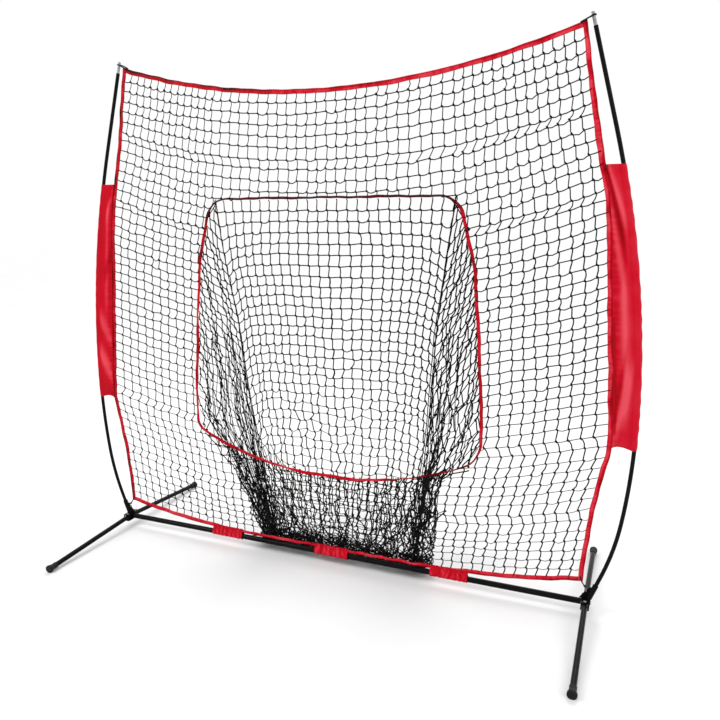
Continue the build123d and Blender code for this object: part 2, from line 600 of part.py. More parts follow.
for side, name in ((-1, "left"), (1, "right")):
    tip_top, up, out = tip_frame(side)
    back = Vector(0, 1, 0)
    groove = tip_top - up * GROOVE_DROP
    sewn = TAPE_T / 2 + LOOP_CORD_R + LOOP_END_GAP
    ends = [groove - out * LOOP_REACH - up * LOOP_FALL + back * sewn * k for k in (-1, 1)]
    sides = [groove - out * LOOP_NECK + back * (LOOP_R + LOOP_NECK_GAP) * k for k in (-1, 1)]
    turns = [groove + out * LOOP_R + back * LOOP_R * k for k in (-1, 1)]
    turn_r = LOOP_R - LOOP_BEND_SLACK
    radii = [LOOP_SIDE_BEND_R, turn_r, turn_r, LOOP_SIDE_BEND_R]
    with BuildLine():
        path = FilletPolyline(ends[0], sides[0], turns[0], turns[1], sides[1], ends[1], radius=radii)
    with BuildPart() as loop_cord:
        with BuildSketch(Plane(origin=path @ 0, z_dir=path % 0)):
            Circle(LOOP_CORD_R)
        sweep(path=path)
    write(loop_cord, f"top_loop_cord_{name}")
    print_cord(f"top_loop_cord_{name}", path, LOOP_CORD_R, loop_cord, radii)

    ball = Vector(side * (HUB_X + BALL_DX), CORD_Y, BALL_Z)
    lead = Vector(side * LEAD_X, 0, LEAD_Z).normalized()
    ball_top = ball - lead * BALL_HALF
    route = [Vector(side * x, CORD_Y, z) for x, z in CORD_ROUTE] + [ball_top]
    radii = arc_radii(route)
    with BuildLine():
        path = FilletPolyline(*route, radius=radii)
    with BuildPart() as bottom_cord:
        with BuildSketch(Plane(origin=path @ 0, z_dir=path % 0)):
            Circle(CORD_R)
        sweep(path=path)
    write(bottom_cord, f"bottom_cord_{name}")
    print_cord(f"bottom_cord_{name}", path, CORD_R, bottom_cord, radii)

    lead = Vector(*(path % 1))
    with BuildPart() as cord_ball:
        with BuildSketch(Plane(origin=ball_top, z_dir=lead)):
            Circle(BALL_R)
        extrude(amount=2 * BALL_HALF)
        fillet(cord_ball.edges().filter_by(GeomType.CIRCLE), BALL_ROUND)
    write(cord_ball, f"cord_ball_{name}")

    hole = Vector(side * HOOK_HOLE_X, 0, HOOK_HOLE_Z)
    wire_start = ball_top + lead * 2 * BALL_HALF
    reach = Vector(0, -CORD_Y, 0)
    with BuildLine():
        path = FilletPolyline(wire_start, wire_start + lead * WIRE_RUN, hole - reach, hole + reach,
                              hole + reach + Vector(0, 0, WIRE_TAIL), radius=WIRE_BENDS)
    with BuildPart() as corner_hook:
        with BuildSketch(Plane(origin=path @ 0, z_dir=path % 0)):
            Circle(WIRE_R)
        sweep(path=path)
    write(corner_hook, f"corner_hook_{name}")
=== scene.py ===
import json
from math import acos, atan2, cos, exp, hypot, pi, radians, sin, sqrt, tan

import bpy
import numpy as np
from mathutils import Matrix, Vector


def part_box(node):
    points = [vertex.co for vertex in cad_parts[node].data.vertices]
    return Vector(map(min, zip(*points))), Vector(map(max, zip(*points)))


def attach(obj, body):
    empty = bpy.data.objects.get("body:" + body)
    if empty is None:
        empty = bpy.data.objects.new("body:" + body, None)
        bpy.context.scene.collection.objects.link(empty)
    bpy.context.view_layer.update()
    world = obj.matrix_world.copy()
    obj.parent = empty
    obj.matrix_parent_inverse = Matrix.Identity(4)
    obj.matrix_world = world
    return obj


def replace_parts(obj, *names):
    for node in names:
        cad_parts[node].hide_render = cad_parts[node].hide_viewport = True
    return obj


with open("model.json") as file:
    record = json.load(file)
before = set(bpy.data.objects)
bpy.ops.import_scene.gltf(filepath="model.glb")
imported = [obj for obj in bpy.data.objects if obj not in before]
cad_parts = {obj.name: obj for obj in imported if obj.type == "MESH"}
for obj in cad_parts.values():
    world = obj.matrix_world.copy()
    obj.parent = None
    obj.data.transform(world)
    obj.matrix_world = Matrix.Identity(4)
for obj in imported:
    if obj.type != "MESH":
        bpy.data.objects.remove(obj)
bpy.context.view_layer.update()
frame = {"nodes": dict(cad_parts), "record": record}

# Pitching target net. Metres, Z up. Heights called "above the bar" start at the crossbar's axis.
BAR_LOW, BAR_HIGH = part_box("crossbar_left")
BAR_Z = (BAR_LOW.z + BAR_HIGH.z) / 2
SIDES = ((-1, "left"), (1, "right"))

# ==== camera ====
CAMERA_AT = (1.1614, -2.5273, 1.4503)
TIPPED_DOWN, TURNED_LEFT = 0.1949, 0.3822      # radians
camera_data = bpy.data.cameras.new("camera")
camera_data.sensor_width = 36.0
camera_data.lens = 34.43
camera = bpy.data.objects.new("camera", camera_data)
camera.location = CAMERA_AT
camera.rotation_euler = (pi / 2 - TIPPED_DOWN, 0.0, TURNED_LEFT)
bpy.context.scene.collection.objects.link(camera)
bpy.context.scene.camera = camera


# ==== materials ====
class Nodes:
    """A material's node tree, with short calls for the nodes used here."""

    def __init__(self, name, **surface):
        self.material = bpy.data.materials.new(name)
        self.material.use_nodes = True
        self.tree = self.material.node_tree
        self.shader = self.tree.nodes["Principled BSDF"]
        for socket, value in surface.items():
            self.shader.inputs[socket.replace("_", " ")].default_value = value

    def put(self, socket, value):
        """Sets an input socket, or links another node's output to it."""
        if isinstance(value, bpy.types.NodeSocket):
            self.tree.links.new(value, socket)
        else:
            socket.default_value = value

    def place(self):
        """Object coordinates, the same as the row's frame."""
        return self.tree.nodes.new("ShaderNodeTexCoord").outputs["Object"]

    def attribute(self, name):
        node = self.tree.nodes.new("ShaderNodeAttribute")
        node.attribute_name = name
        return node.outputs["Vector"]

    def split(self, vector):
        node = self.tree.nodes.new("ShaderNodeSeparateXYZ")
        self.put(node.inputs[0], vector)
        return node.outputs

    def maths(self, operation, a, b=0.0, c=0.0):
        node = self.tree.nodes.new("ShaderNodeMath")
        node.operation = operation
        for socket, value in zip(node.inputs, (a, b, c)):
            self.put(socket, value)
        return node.outputs[0]

    def crossed_waves(self, one, two, pitch):
        """Two sine waves multiplied together, from 0 to 1."""
        waves = [self.maths("SINE", self.maths("MULTIPLY", way, 2 * pi / pitch)) for way in (one, two)]
        return self.maths("MULTIPLY_ADD", self.maths("MULTIPLY", *waves), 0.5, 0.5)

    def noise(self, vector, scale, detail=3.0, roughness=0.5):
        node = self.tree.nodes.new("ShaderNodeTexNoise")
        self.put(node.inputs["Vector"], vector)
        node.inputs["Scale"].default_value = scale
        node.inputs["Detail"].default_value = detail
        node.inputs["Roughness"].default_value = roughness
        return node.outputs["Fac"]

    def stretch(self, vector, x, y, z):
        """The vector scaled by a different factor along each axis."""
        node = self.tree.nodes.new("ShaderNodeMapping")
        self.put(node.inputs["Vector"], vector)
        node.inputs["Scale"].default_value = (x, y, z)
        return node.outputs["Vector"]

    def ramp(self, fac, *stops):
        """A colour ramp from (position, colour) pairs."""
        node = self.tree.nodes.new("ShaderNodeValToRGB")
        self.put(node.inputs["Fac"], fac)
        elements = node.color_ramp.elements
        while len(elements) < len(stops):
            elements.new(0.5)
        for element, (position, colour) in zip(elements, stops):
            element.position = position
            element.color = (*colour, 1.0)
        return node.outputs["Color"]

    def mix(self, fac, a, b):
        node = self.tree.nodes.new("ShaderNodeMix")
        node.data_type = "RGBA"
        for socket, value in (("Factor", fac), ("A", a), ("B", b)):
            self.put(node.inputs[socket], (*value, 1.0) if isinstance(value, tuple) else value)
        return node.outputs["Result"]

    def bump(self, height, distance, strength=1.0):
        node = self.tree.nodes.new("ShaderNodeBump")
        self.put(node.inputs["Height"], height)
        node.inputs["Distance"].default_value = distance
        node.inputs["Strength"].default_value = strength
        self.put(self.shader.inputs["Normal"], node.outputs["Normal"])

    def colour(self, value):
        self.put(self.shader.inputs["Base Color"], value)

    def roughness(self, value):
        self.put(self.shader.inputs["Roughness"], value)


def coated_metal(name, dark, light, rough, metallic=0.0, grain=900.0, depth=0.00006, shine=0.5):
    """Painted or plated tube: mottled colour, orange peel and fine rub marks along it."""
    n = Nodes(name, Metallic=metallic, Specular_IOR_Level=shine)
    place = n.place()
    patches = n.noise(place, 14.0, 4.0)
    peel = n.noise(place, grain, 2.0)
    rubs = n.noise(n.stretch(place, 900.0, 900.0, 60.0), 1.0, 3.0, 0.7)
    n.colour(n.ramp(n.maths("MULTIPLY_ADD", rubs, 0.35, n.maths("MULTIPLY", patches, 0.65)),
                    (0.3, dark), (0.72, light)))
    n.roughness(n.maths("ADD", n.maths("MULTIPLY", rubs, 0.16), rough))
    n.bump(n.maths("ADD", peel, n.maths("MULTIPLY", rubs, 0.4)), depth)
    return n.material


def moulded(name, dark, light, rough, depth=0.00012):
    """Rubber or plastic moulding: dusty patches over a fine matt grain."""
    n = Nodes(name, Specular_IOR_Level=0.2)
    place = n.place()
    dust = n.noise(place, 45.0, 5.0, 0.6)
    grain = n.noise(place, 1600.0, 2.0)
    n.colour(n.ramp(dust, (0.35, dark), (0.75, light)))
    n.roughness(n.maths("MULTIPLY_ADD", dust, 0.2, rough))
    n.bump(grain, depth)
    return n.material


def braided_cord(name, dark, light, pitch):
    """Braid or twist of a cord, from crossed fine waves, with fuzz."""
    n = Nodes(name, Roughness=0.7, Specular_IOR_Level=0.12)
    x, y, z = n.split(n.place())
    level = n.maths("ADD", x, y)
    braid = n.crossed_waves(n.maths("ADD", level, z), n.maths("SUBTRACT", level, z), pitch)
    fuzz = n.noise(n.place(), 2500.0, 2.0)
    n.colour(n.ramp(n.maths("MULTIPLY_ADD", fuzz, 0.3, n.maths("MULTIPLY", braid, 0.7)),
                    (0.15, dark), (0.9, light)))
    n.bump(braid, 0.0003)
    return n.material


# Colours of the red cloth, from the darkest painted shade to the lightest painted highlight; the middle ones
# also take its random mottling.
RED_BLACK = (0.030, 0.0, 0.002)
RED_DEEP = (0.27, 0.0, 0.002)
RED = (0.48, 0.001, 0.013)
RED_LIGHT = (0.66, 0.060, 0.085)
THREAD = (0.62, 0.03, 0.05)
STITCH_PITCH, STITCH_SHARE = 0.0042, 0.68      # a stitch and its gap, and the share that is thread
STITCH_HALF, GROOVE_HALF = 0.0005, 0.0016


def red_cloth(name, seams=(), pitch=0.0011):
    """Coated woven polyester. The "cloth" attribute holds metres along and across the cloth, and lift:
    painted light and shade, how much lighter or darker the colour is drawn where a fold, roll or puff would
    catch the light or fall into shade. seams are the distances across the cloth where it is stitched."""
    n = Nodes(name, Specular_IOR_Level=0.06)
    along, across, lift = n.split(n.attribute("cloth"))
    weave = n.crossed_waves(along, across, pitch)
    cloud = n.noise(n.place(), 9.0, 4.0)
    thread = n.noise(n.stretch(n.attribute("cloth"), 500.0, 3500.0, 1.0), 1.0, 2.0)
    grain = n.maths("MULTIPLY_ADD", weave, 0.06, n.maths("MULTIPLY", thread, 0.10))
    # The colour follows random mottling and the weave, plus lift, the painted light and shade of folds, rolls
    # and puffs.
    tone = n.maths("ADD", n.maths("MULTIPLY_ADD", cloud, 0.24, 0.30), n.maths("ADD", grain, lift))
    colour = n.ramp(tone, (0.0, RED_BLACK), (0.22, RED_DEEP), (0.5, RED), (0.9, RED_LIGHT))
    height = n.maths("MULTIPLY", weave, 0.25)
    for seam in seams:
        beside = n.maths("ABSOLUTE", n.maths("SUBTRACT", across, seam))
        on_line = n.maths("LESS_THAN", beside, STITCH_HALF)
        step = n.maths("FRACT", n.maths("MULTIPLY", along, 1 / STITCH_PITCH))
        stitch = n.maths("MULTIPLY", on_line, n.maths("LESS_THAN", step, STITCH_SHARE))
        groove = n.maths("MINIMUM", n.maths("MULTIPLY", beside, 1 / GROOVE_HALF), 1.0)
        colour = n.mix(n.maths("MULTIPLY", stitch, 0.5), colour, THREAD)
        height = n.maths("ADD", height, n.maths("MULTIPLY_ADD", stitch, 0.9, groove))
    n.colour(colour)
    n.roughness(n.maths("MULTIPLY_ADD", weave, 0.12, 0.42))
    n.bump(height, 0.00035)
    return n.material


BLACK = (0.0015, 0.0015, 0.0017)
MATERIALS = {
    "net_cord": braided_cord("net_cord", (0.0008, 0.0008, 0.0008), (0.009, 0.009, 0.0095), 0.0016),
    "elastic_cord": braided_cord("elastic_cord", (0.002, 0.002, 0.002), (0.016, 0.016, 0.017), 0.0021),
    "foot_rubber": moulded("foot_rubber", (0.002, 0.002, 0.002), (0.012, 0.012, 0.012), 0.5),
    "black_plastic": moulded("black_plastic", (0.002, 0.002, 0.002), (0.01, 0.01, 0.01), 0.38, 0.00005),
    "pole_black": coated_metal("pole_black", BLACK, (0.006, 0.006, 0.0065), 0.17, shine=0.06),
    "black_steel": coated_metal("black_steel", BLACK, (0.006, 0.006, 0.0065), 0.17, shine=0.06),
    "spigot_metal": coated_metal("spigot_metal", (0.42, 0.42, 0.43), (0.6, 0.6, 0.6), 0.3, 1.0),
    "tip_chrome": coated_metal("tip_chrome", (0.16, 0.16, 0.17), (0.62, 0.62, 0.63), 0.10, 1.0,
                               grain=500.0, depth=0.00002),
    "zinc_steel": coated_metal("zinc_steel", (0.16, 0.16, 0.155), (0.40, 0.40, 0.39), 0.26, 1.0,
                               grain=700.0),
    "red_fabric": red_cloth("red_fabric"),
}
TAPE_CLOTH = red_cloth("tape_cloth", seams=(0.0025, 0.0335), pitch=0.0013)
TRIM_CLOTH = red_cloth("trim_cloth", seams=(0.0065,), pitch=0.0012)
SLEEVE_CLOTH = red_cloth("sleeve_cloth", seams=(0.006,), pitch=0.0014)
WRAP_CLOTH = red_cloth("wrap_cloth", seams=(0.004, 0.012), pitch=0.0014)
SLOT_OF = {part["node"]: part["material_slot"] for part in frame["record"]["subparts"]}
for node_name, node in frame["nodes"].items():
    for material_slot in node.material_slots:
        material_slot.material = MATERIALS[SLOT_OF[node_name]]


# ==== shared shapes ====
def new_object(name, points, faces, material, slot, cloth=None):
    """A smooth-shaded mesh piece that rides on the frame. faces is a list of index arrays."""
    mesh = bpy.data.meshes.new(name)
    mesh.from_pydata(np.asarray(points, float).tolist(), [], [f for part in faces for f in part.tolist()])
    mesh.shade_smooth()
    if cloth is not None:
        layer = mesh.attributes.new("cloth", "FLOAT_VECTOR", "POINT")
        layer.data.foreach_set("vector", np.asarray(cloth, np.float32).ravel())
    mesh.materials.append(material)
    piece = bpy.data.objects.new(name, mesh)
    bpy.context.scene.collection.objects.link(piece)
    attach(piece, "frame")
    return piece


def cloth_piece(name, shape, material, cloth, node):
    """A piece of red cloth in place of a CAD node, with its flat size in metres."""
    piece = new_object(name, *shape, material, "red_fabric", cloth=cloth)
    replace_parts(piece, node)


def net_piece(name, shape, node):
    """A piece of net in place of a CAD node."""
    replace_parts(new_object(name, *shape, MATERIALS["net_cord"], "net_cord"), node)


def shell(outer, inner, closed=False):
    """Points and faces of a closed thin shell from two grids of points, one row per step along it."""
    rows, across = outer.shape[:2]
    points = np.concatenate([outer.reshape(-1, 3), inner.reshape(-1, 3)])
    index = np.arange(rows * across).reshape(rows, across)
    if closed:
        index = np.concatenate([index, index[:1]])
    back = index + rows * across

    def quads(grid):
        return np.stack([grid[:-1, :-1], grid[1:, :-1], grid[1:, 1:], grid[:-1, 1:]], axis=-1).reshape(-1, 4)

    faces = [quads(index), quads(back)[:, ::-1]]
    for edge in (0, -1):
        side = np.stack([index[:-1, edge], back[:-1, edge], back[1:, edge], index[1:, edge]], axis=-1)
        faces.append(side if edge == 0 else side[:, ::-1])
    if not closed:
        for end in (0, -1):
            cap = np.stack([index[end, :-1], index[end, 1:], back[end, 1:], back[end, :-1]], axis=-1)
            faces.append(cap if end == 0 else cap[:, ::-1])
    return points, faces


def cloth_rows(along, across, lift):
    """The "cloth" attribute of a shell: metres along and across, and lift, the painted light and shade, the
    same on both faces.
    """
    grid = np.zeros((len(along), across.shape[-1], 3))
    grid[..., 0] = np.asarray(along)[:, None]
    grid[..., 1] = across
    grid[..., 2] = lift
    return np.concatenate([grid.reshape(-1, 3)] * 2)


def fold(u, v, start, end, width, size):
    """A soft ridge along a line in a cloth's own coordinates, fading at both ends."""
    ax, ay = end[0] - start[0], end[1] - start[1]
    t = ((u - start[0]) * ax + (v - start[1]) * ay) / (ax * ax + ay * ay)
    away = np.hypot(u - start[0] - t * ax, v - start[1] - t * ay)
    return size * np.exp(-(away / width) ** 2) * ease((t + 0.12) / 0.2) * ease((1.12 - t) / 0.35)


def unit(vectors):
    return vectors / np.maximum(np.linalg.norm(vectors, axis=-1, keepdims=True), 1e-9)


def run_along(line):
    """Distance along a polyline at each of its points."""
    return np.concatenate([[0], np.cumsum(np.linalg.norm(np.diff(line, axis=0), axis=1))])


def run_across(surface):
    """Distance across a grid of points, from its first column."""
    step = np.linalg.norm(np.diff(surface, axis=1), axis=-1)
    return np.concatenate([np.zeros((len(surface), 1)), np.cumsum(step, axis=1)], axis=1)


def smooth(points, count):
    """count points, evenly spaced, on the natural cubic spline through some points."""
    p = np.asarray(points, float)
    t = run_along(p)
    h = np.diff(t)
    size = len(p)
    a, b = np.eye(size), np.zeros_like(p)
    for k in range(1, size - 1):
        a[k, k - 1:k + 2] = h[k - 1], 2 * (h[k - 1] + h[k]), h[k]
        b[k] = 6 * ((p[k + 1] - p[k]) / h[k] - (p[k] - p[k - 1]) / h[k - 1])
    bend = np.linalg.solve(a, b)
    fine = np.linspace(0, t[-1], 60 * size)
    k = np.clip(np.searchsorted(t, fine) - 1, 0, size - 2)
    left, right, step = (fine - t[k])[:, None], (t[k + 1] - fine)[:, None], h[k][:, None]
    line = (bend[k] * right ** 3 + bend[k + 1] * left ** 3) / (6 * step)
    line += (p[k] / step - bend[k] * step / 6) * right + (p[k + 1] / step - bend[k + 1] * step / 6) * left
    return even(line, count)


def even(line, count):
    """count points spaced evenly along a polyline."""
    run = run_along(line)
    at = np.linspace(0, run[-1], count)
    return np.stack([np.interp(at, run, line[:, k]) for k in range(line.shape[1])], axis=1)


def ease(x):
    """0 below 0, 1 above 1, and smooth between."""
    x = np.clip(x, 0, 1)
    return x * x * (3 - 2 * x)


def ripple(x, seed, waves=5):
    """A repeatable smooth random curve of about unit size."""
    r = np.random.default_rng(seed)
    f, p, a = r.uniform(1, 6, waves), r.uniform(0, 2 * pi, waves), r.uniform(0.5, 1, waves)
    return sum(a[k] * np.sin(f[k] * x + p[k]) for k in range(waves)) / sqrt(waves) * 1.2


def tubes(lines, radii, sides=4):
    """Points and faces of closed tubes along some polylines. A radius may vary along its line."""
    points, faces, base = [], [], 0
    angle = np.arange(sides) * 2 * pi / sides
    for line, thick in zip(lines, radii):
        tangent = unit(np.gradient(line, axis=0))
        one = np.cross(tangent, (0.05, 1.0, 0.02))
        upright = np.cross(tangent, (0, 0, 1.0))
        one = unit(np.where(np.linalg.norm(one, axis=1, keepdims=True) < 0.2, upright, one))
        two = np.cross(tangent, one)
        ring = one[:, None] * np.cos(angle)[:, None] + two[:, None] * np.sin(angle)[:, None]
        thick = np.broadcast_to(thick, len(line))[:, None, None]
        points.append((line[:, None] + ring * thick).reshape(-1, 3))
        k = np.arange(len(line) - 1)[:, None] * sides + base
        s, nxt = np.arange(sides), (np.arange(sides) + 1) % sides
        faces.append(np.stack([k + s, k + sides + s, k + sides + nxt, k + nxt], axis=-1).reshape(-1, 4))
        faces.append(base + s[None, :])
        faces.append(base + (len(line) - 1) * sides + s[None, ::-1])
        base += len(line) * sides
    return np.concatenate(points), faces


def lumps(centres, axes, half_length, radius, profile, sides=5):
    """Points and faces of knots: closed bodies of revolution, each along its own axis."""
    profile = np.asarray(profile, float)
    axes = unit(axes)
    one = unit(np.cross(axes, (0.03, 1.0, 0.05)))
    two = np.cross(axes, one)
    angle = np.arange(sides) * 2 * pi / sides
    rings = len(profile)
    along, out = half_length * profile[:, 0, None, None], radius * profile[:, 1, None, None]
    ring = one[:, None, None] * np.cos(angle)[:, None] + two[:, None, None] * np.sin(angle)[:, None]
    body = centres[:, None, None] + axes[:, None, None] * along + ring * out
    base = (np.arange(len(centres)) * rings * sides)[:, None, None]
    k, s = np.arange(rings - 1)[:, None] * sides, np.arange(sides)
    nxt = (s + 1) % sides
    quads = np.stack([base + k + s, base + k + sides + s, base + k + sides + nxt, base + k + nxt], axis=-1)
    caps = [base[:, 0] + s[::-1], base[:, 0] + (rings - 1) * sides + s]
    return body.reshape(-1, 3), [quads.reshape(-1, 4)] + caps


def joined(parts):
    """One set of points and faces from several."""
    points, faces, base = [], [], 0
    for p, f in parts:
        points.append(p)
        faces += [g + base for g in f]
        base += len(p)
    return np.concatenate(points), faces


# ==== outline of the net ====
# Half of each line, as distance from the middle and height above the bar.
SIDE_EDGE = [
    (0.947, 2.060), (0.976, 1.900), (1.001, 1.765), (1.037, 1.600), (1.063, 1.450), (1.077, 1.280),
    (1.089, 1.110), (1.106, 0.880), (1.1185, 0.670), (1.1185, 0.614), (1.1085, 0.550), (1.0885, 0.450),
    (1.067, 0.290), (1.050, 0.082),
]
TOP_HALF, TOP_Z, TOP_SAG_Z = 0.947, 2.060, 1.915
BOTTOM_EDGE = [(1.050, 0.082), (0.846, 0.047), (0.600, 0.024), (0.0, 0.017)]
OPENING_HALF = [           # and the radius of the bend there
    (0.530, 1.500, 0.095), (0.594, 1.245, 0.4), (0.617, 1.000, 0.9), (0.641, 0.640, 0.8),
    (0.640, 0.505, 0.06), (0.500, 0.440, 0.5), (0.290, 0.380, 0.7), (0.110, 0.359, 0.6),
]
LOWER_CORNER, LOWER_RIGHT_R = 4, 0.115     # the opening's lower corner is slacker on the right
LEFT_DROP = 0.024                          # the left sleeve hangs this much lower than the right one
TAPE, TRIM = 0.018, 0.0135                 # visible widths of the edge tape and of the opening's trim
SAG_RISE = TOP_Z - TOP_SAG_Z
TOP_R = (TOP_HALF ** 2 + SAG_RISE ** 2) / (2 * SAG_RISE)


def top_z(x):
    return TOP_SAG_Z + TOP_R - np.sqrt(TOP_R ** 2 - np.square(x))


def side_line(side, inset, count):
    """The side edge from the top corner down, moved inwards."""
    points = np.array(SIDE_EDGE) - (inset, 0.0)
    if side < 0:
        z = points[:, 1]
        points[:, 1] -= LEFT_DROP * ease((z - 0.25) / 0.25) * ease((1.95 - z) / 0.25)
    return smooth(points, count) * (side, 1)


def bottom_line(rise, count):
    """The bottom edge from left to right, raised."""
    return smooth([(-x, z) for x, z in BOTTOM_EDGE] + BOTTOM_EDGE[-2::-1], count) + (0, rise)


def opening_line(grow, count):
    """The opening's outline, grown by a distance, clockwise from its top right corner."""
    right = np.array([(x, z) for x, z, _ in OPENING_HALF])
    corners = np.concatenate([right, (right * (-1, 1))[::-1]])
    radii = [r for _, _, r in OPENING_HALF] + [r for _, _, r in OPENING_HALF[::-1]]
    radii[LOWER_CORNER] = LOWER_RIGHT_R
    line = []
    for k, at in enumerate(corners):
        before, after = corners[k - 1], corners[(k + 1) % len(corners)]
        a, b = unit(before - at), unit(after - at)
        half = acos(np.clip(a @ b, -1, 1)) / 2
        reach = radii[k] / tan(half)
        start, end = at + a * reach, at + b * reach
        centre = at + unit(a + b) * radii[k] / sin(half)
        sweep = [atan2(*(p - centre)[::-1]) for p in (start, end)]
        turn = (sweep[1] - sweep[0] + pi) % (2 * pi) - pi
        for t in np.linspace(0, 1, max(3, int(abs(turn) / 0.1))):
            angle = sweep[0] + turn * t
            line.append(centre + (radii[k] + grow) * np.array([cos(angle), sin(angle)]))
    line = np.array(line + line[:1])
    return even(line, count + 1)[:-1]


OPENING = opening_line(0.004, 400)


def in_opening(points):
    """Which points lie inside the opening, seen from the front."""
    x, z = points[:, 0:1], points[:, 2:3] - BAR_Z
    x0, z0 = OPENING.T
    x1, z1 = np.roll(OPENING, -1, axis=0).T
    with np.errstate(divide="ignore", invalid="ignore"):
        hit = ((z0 > z) != (z1 > z)) & (x < (x1 - x0) * (z - z0) / (z1 - z0) + x0)
    return hit.sum(axis=1) % 2 == 1


def crossing(a, b, test):
    """Where the run from a, outside, to b, inside, meets the edge."""
    low, high = 0.0, 1.0
    for _ in range(12):
        middle = (low + high) / 2
        if test((a + (b - a) * middle)[None])[0]:
            high = middle
        else:
            low = middle
    return a + (b - a) * low


def runs(knots, keep, test):
    """The stretches of a line of knots that are kept, run on to the edge where one is dropped."""
    out, at = [], []
    for k, knot in enumerate(knots):
        if keep[k]:
            if not at and k and not keep[k - 1]:
                at.append(crossing(knot, knots[k - 1], test))
            at.append(knot)
        elif at:
            at.append(crossing(knots[k - 1], knot, test))
            out.append(np.array(at))
            at = []
    if at:
        out.append(np.array(at))
    return [line for line in out if len(line) > 1]


MESH = 0.044               # cord from knot to knot
CORD_R = 0.0022
DEEPEST_SAG = 0.008
rng = np.random.default_rng(11)


def strand(knots, drop, hook):
    """A strand through its knots. Spare length hangs down, and each span leaves its knots on a hook."""
    a, b = knots[:-1], knots[1:]
    span = np.linalg.norm(b - a, axis=1)
    slack = np.clip(MESH - span, 0, MESH * 0.5)
    sag = np.sqrt(0.375 * span * slack)        # of a shallow arc with that much slack
    sag = np.minimum(sag, DEEPEST_SAG) * rng.uniform(0.4, 1.0, len(span))
    sideways = rng.normal(0, 0.3, (len(span), 3)) + drop
    rows = [a + (b - a) * t + sideways * (sag * depth)[:, None] + hook * swing
            for t, depth, swing in ((0.15, 0.5, 1.0), (0.5, 1.0, 0.0), (0.85, 0.5, -1.0))]
    return np.concatenate([knots[:1], np.stack(rows, axis=1).reshape(-1, 3), knots[-1:]])


# ==== main net ====
COLUMNS, ROWS = 50, 48
STRIP, CREASE_X = 13, 0.5  # meshes from each side tape to the crease, and where the crease runs
INSET = 0.009              # the net ends this far inside its tapes
CREASE_DIP = 0.045
KNOT_STRAY = 0.0017

column, row = np.arange(COLUMNS + 1), np.arange(ROWS + 1)
u, v = column / COLUMNS, row / ROWS
strip_top = np.linspace(TOP_HALF - INSET, CREASE_X, STRIP + 1)
middle_top = np.linspace(-CREASE_X, CREASE_X, COLUMNS - 2 * STRIP + 1)[1:-1]
top_x = np.concatenate([-strip_top, middle_top, strip_top[::-1]])
top_edge = np.stack([top_x, top_z(top_x) - INSET], axis=1)
bottom_edge = even(bottom_line(INSET, 400), COLUMNS + 1)
bottom_edge[:, 0] *= (BOTTOM_EDGE[0][0] - INSET) / BOTTOM_EDGE[0][0]
left_edge, right_edge = (side_line(side, INSET, ROWS + 1) for side, _ in SIDES)
for edge, at in ((left_edge, 0), (right_edge, -1)):
    edge += (1 - v)[:, None] * (top_edge[at] - edge[0]) + v[:, None] * (bottom_edge[at] - edge[-1])

grid = (1 - v)[:, None, None] * top_edge + v[:, None, None] * bottom_edge
for edge, at, near in ((left_edge, 0, 1 - u), (right_edge, -1, u)):
    straight = (1 - v)[:, None] * top_edge[at] + v[:, None] * bottom_edge[at]
    bulge = edge - straight
    grid[..., 0] += bulge[:, 0:1] * near ** 3
    grid[..., 1] += bulge[:, 1:2] * near

# Between the top and bottom edges the rows fall from the side tapes to the crease.
from_side = np.minimum(column, COLUMNS - column)
dip = CREASE_DIP * ease(v / 0.27) * ease((1 - v) / 0.12)
grid[..., 1] -= dip[:, None] * np.minimum(from_side / STRIP, 1)
# Four folds from packing run across the net and shift its columns by part of a mesh.
from_end = np.minimum(row, ROWS - row)
hand = np.where(column < COLUMNS / 2, -1.0, 1.0) * (0.25 + 0.75 * (1 - ease((from_side - STRIP) / 8)))
edge_free = np.minimum(from_side, 1)
for height, size in ((1.81, 0.008), (1.53, 0.007), (0.67, -0.009), (0.38, -0.008)):
    packed = int(np.argmin(abs(right_edge[:, 1] - height)))
    k = row - packed
    push = np.where(k <= 0, np.exp(np.minimum(k, 0) / 2.5), -np.exp(-(k - 1) / 2.5)) * size
    grid[..., 0] += push[:, None] * (hand * edge_free) * np.minimum(from_end, 1)[:, None]
    lift = np.where(abs(k - 0.5) < 1, np.sign(k - 0.5), 0) * 0.004
    grid[..., 1] += lift[:, None] * edge_free
free = np.minimum(from_end, 2)[:, None] / 2 * np.minimum(from_side, 2) / 2
for axis in (0, 1):
    grid[..., axis] += rng.normal(0, KNOT_STRAY, grid.shape[:2]) * free
wave_u, wave_v = np.meshgrid(u * 12, v * 12)
grid[..., 0] += 0.0035 * np.sin(wave_u * 1.3 + 1.1 * np.sin(wave_v)) * free
grid[..., 1] += 0.0030 * np.sin(wave_v * 1.1 + 1.4 * np.sin(wave_u * 0.8 + 1)) * free
depth = 0.0025 * np.sin(wave_u * 0.9 + 2) * np.sin(wave_v * 0.8) * free
main_net = np.stack([grid[..., 0], depth, grid[..., 1] + BAR_Z], axis=-1)
outside = ~in_opening(main_net.reshape(-1, 3)).reshape(main_net.shape[:2])

# A knot's profile: share of its half length, share of its radius.
KNOT = [(-1.0, 0.5), (-0.62, 1.0), (-0.05, 0.86), (0.55, 1.0), (1.0, 0.5)]
SMALL_KNOT = [(-1.0, 0.55), (-0.4, 1.0), (0.4, 1.0), (1.0, 0.55)]
KNOT_HALF, KNOT_SWELL = 0.0056, 1.75


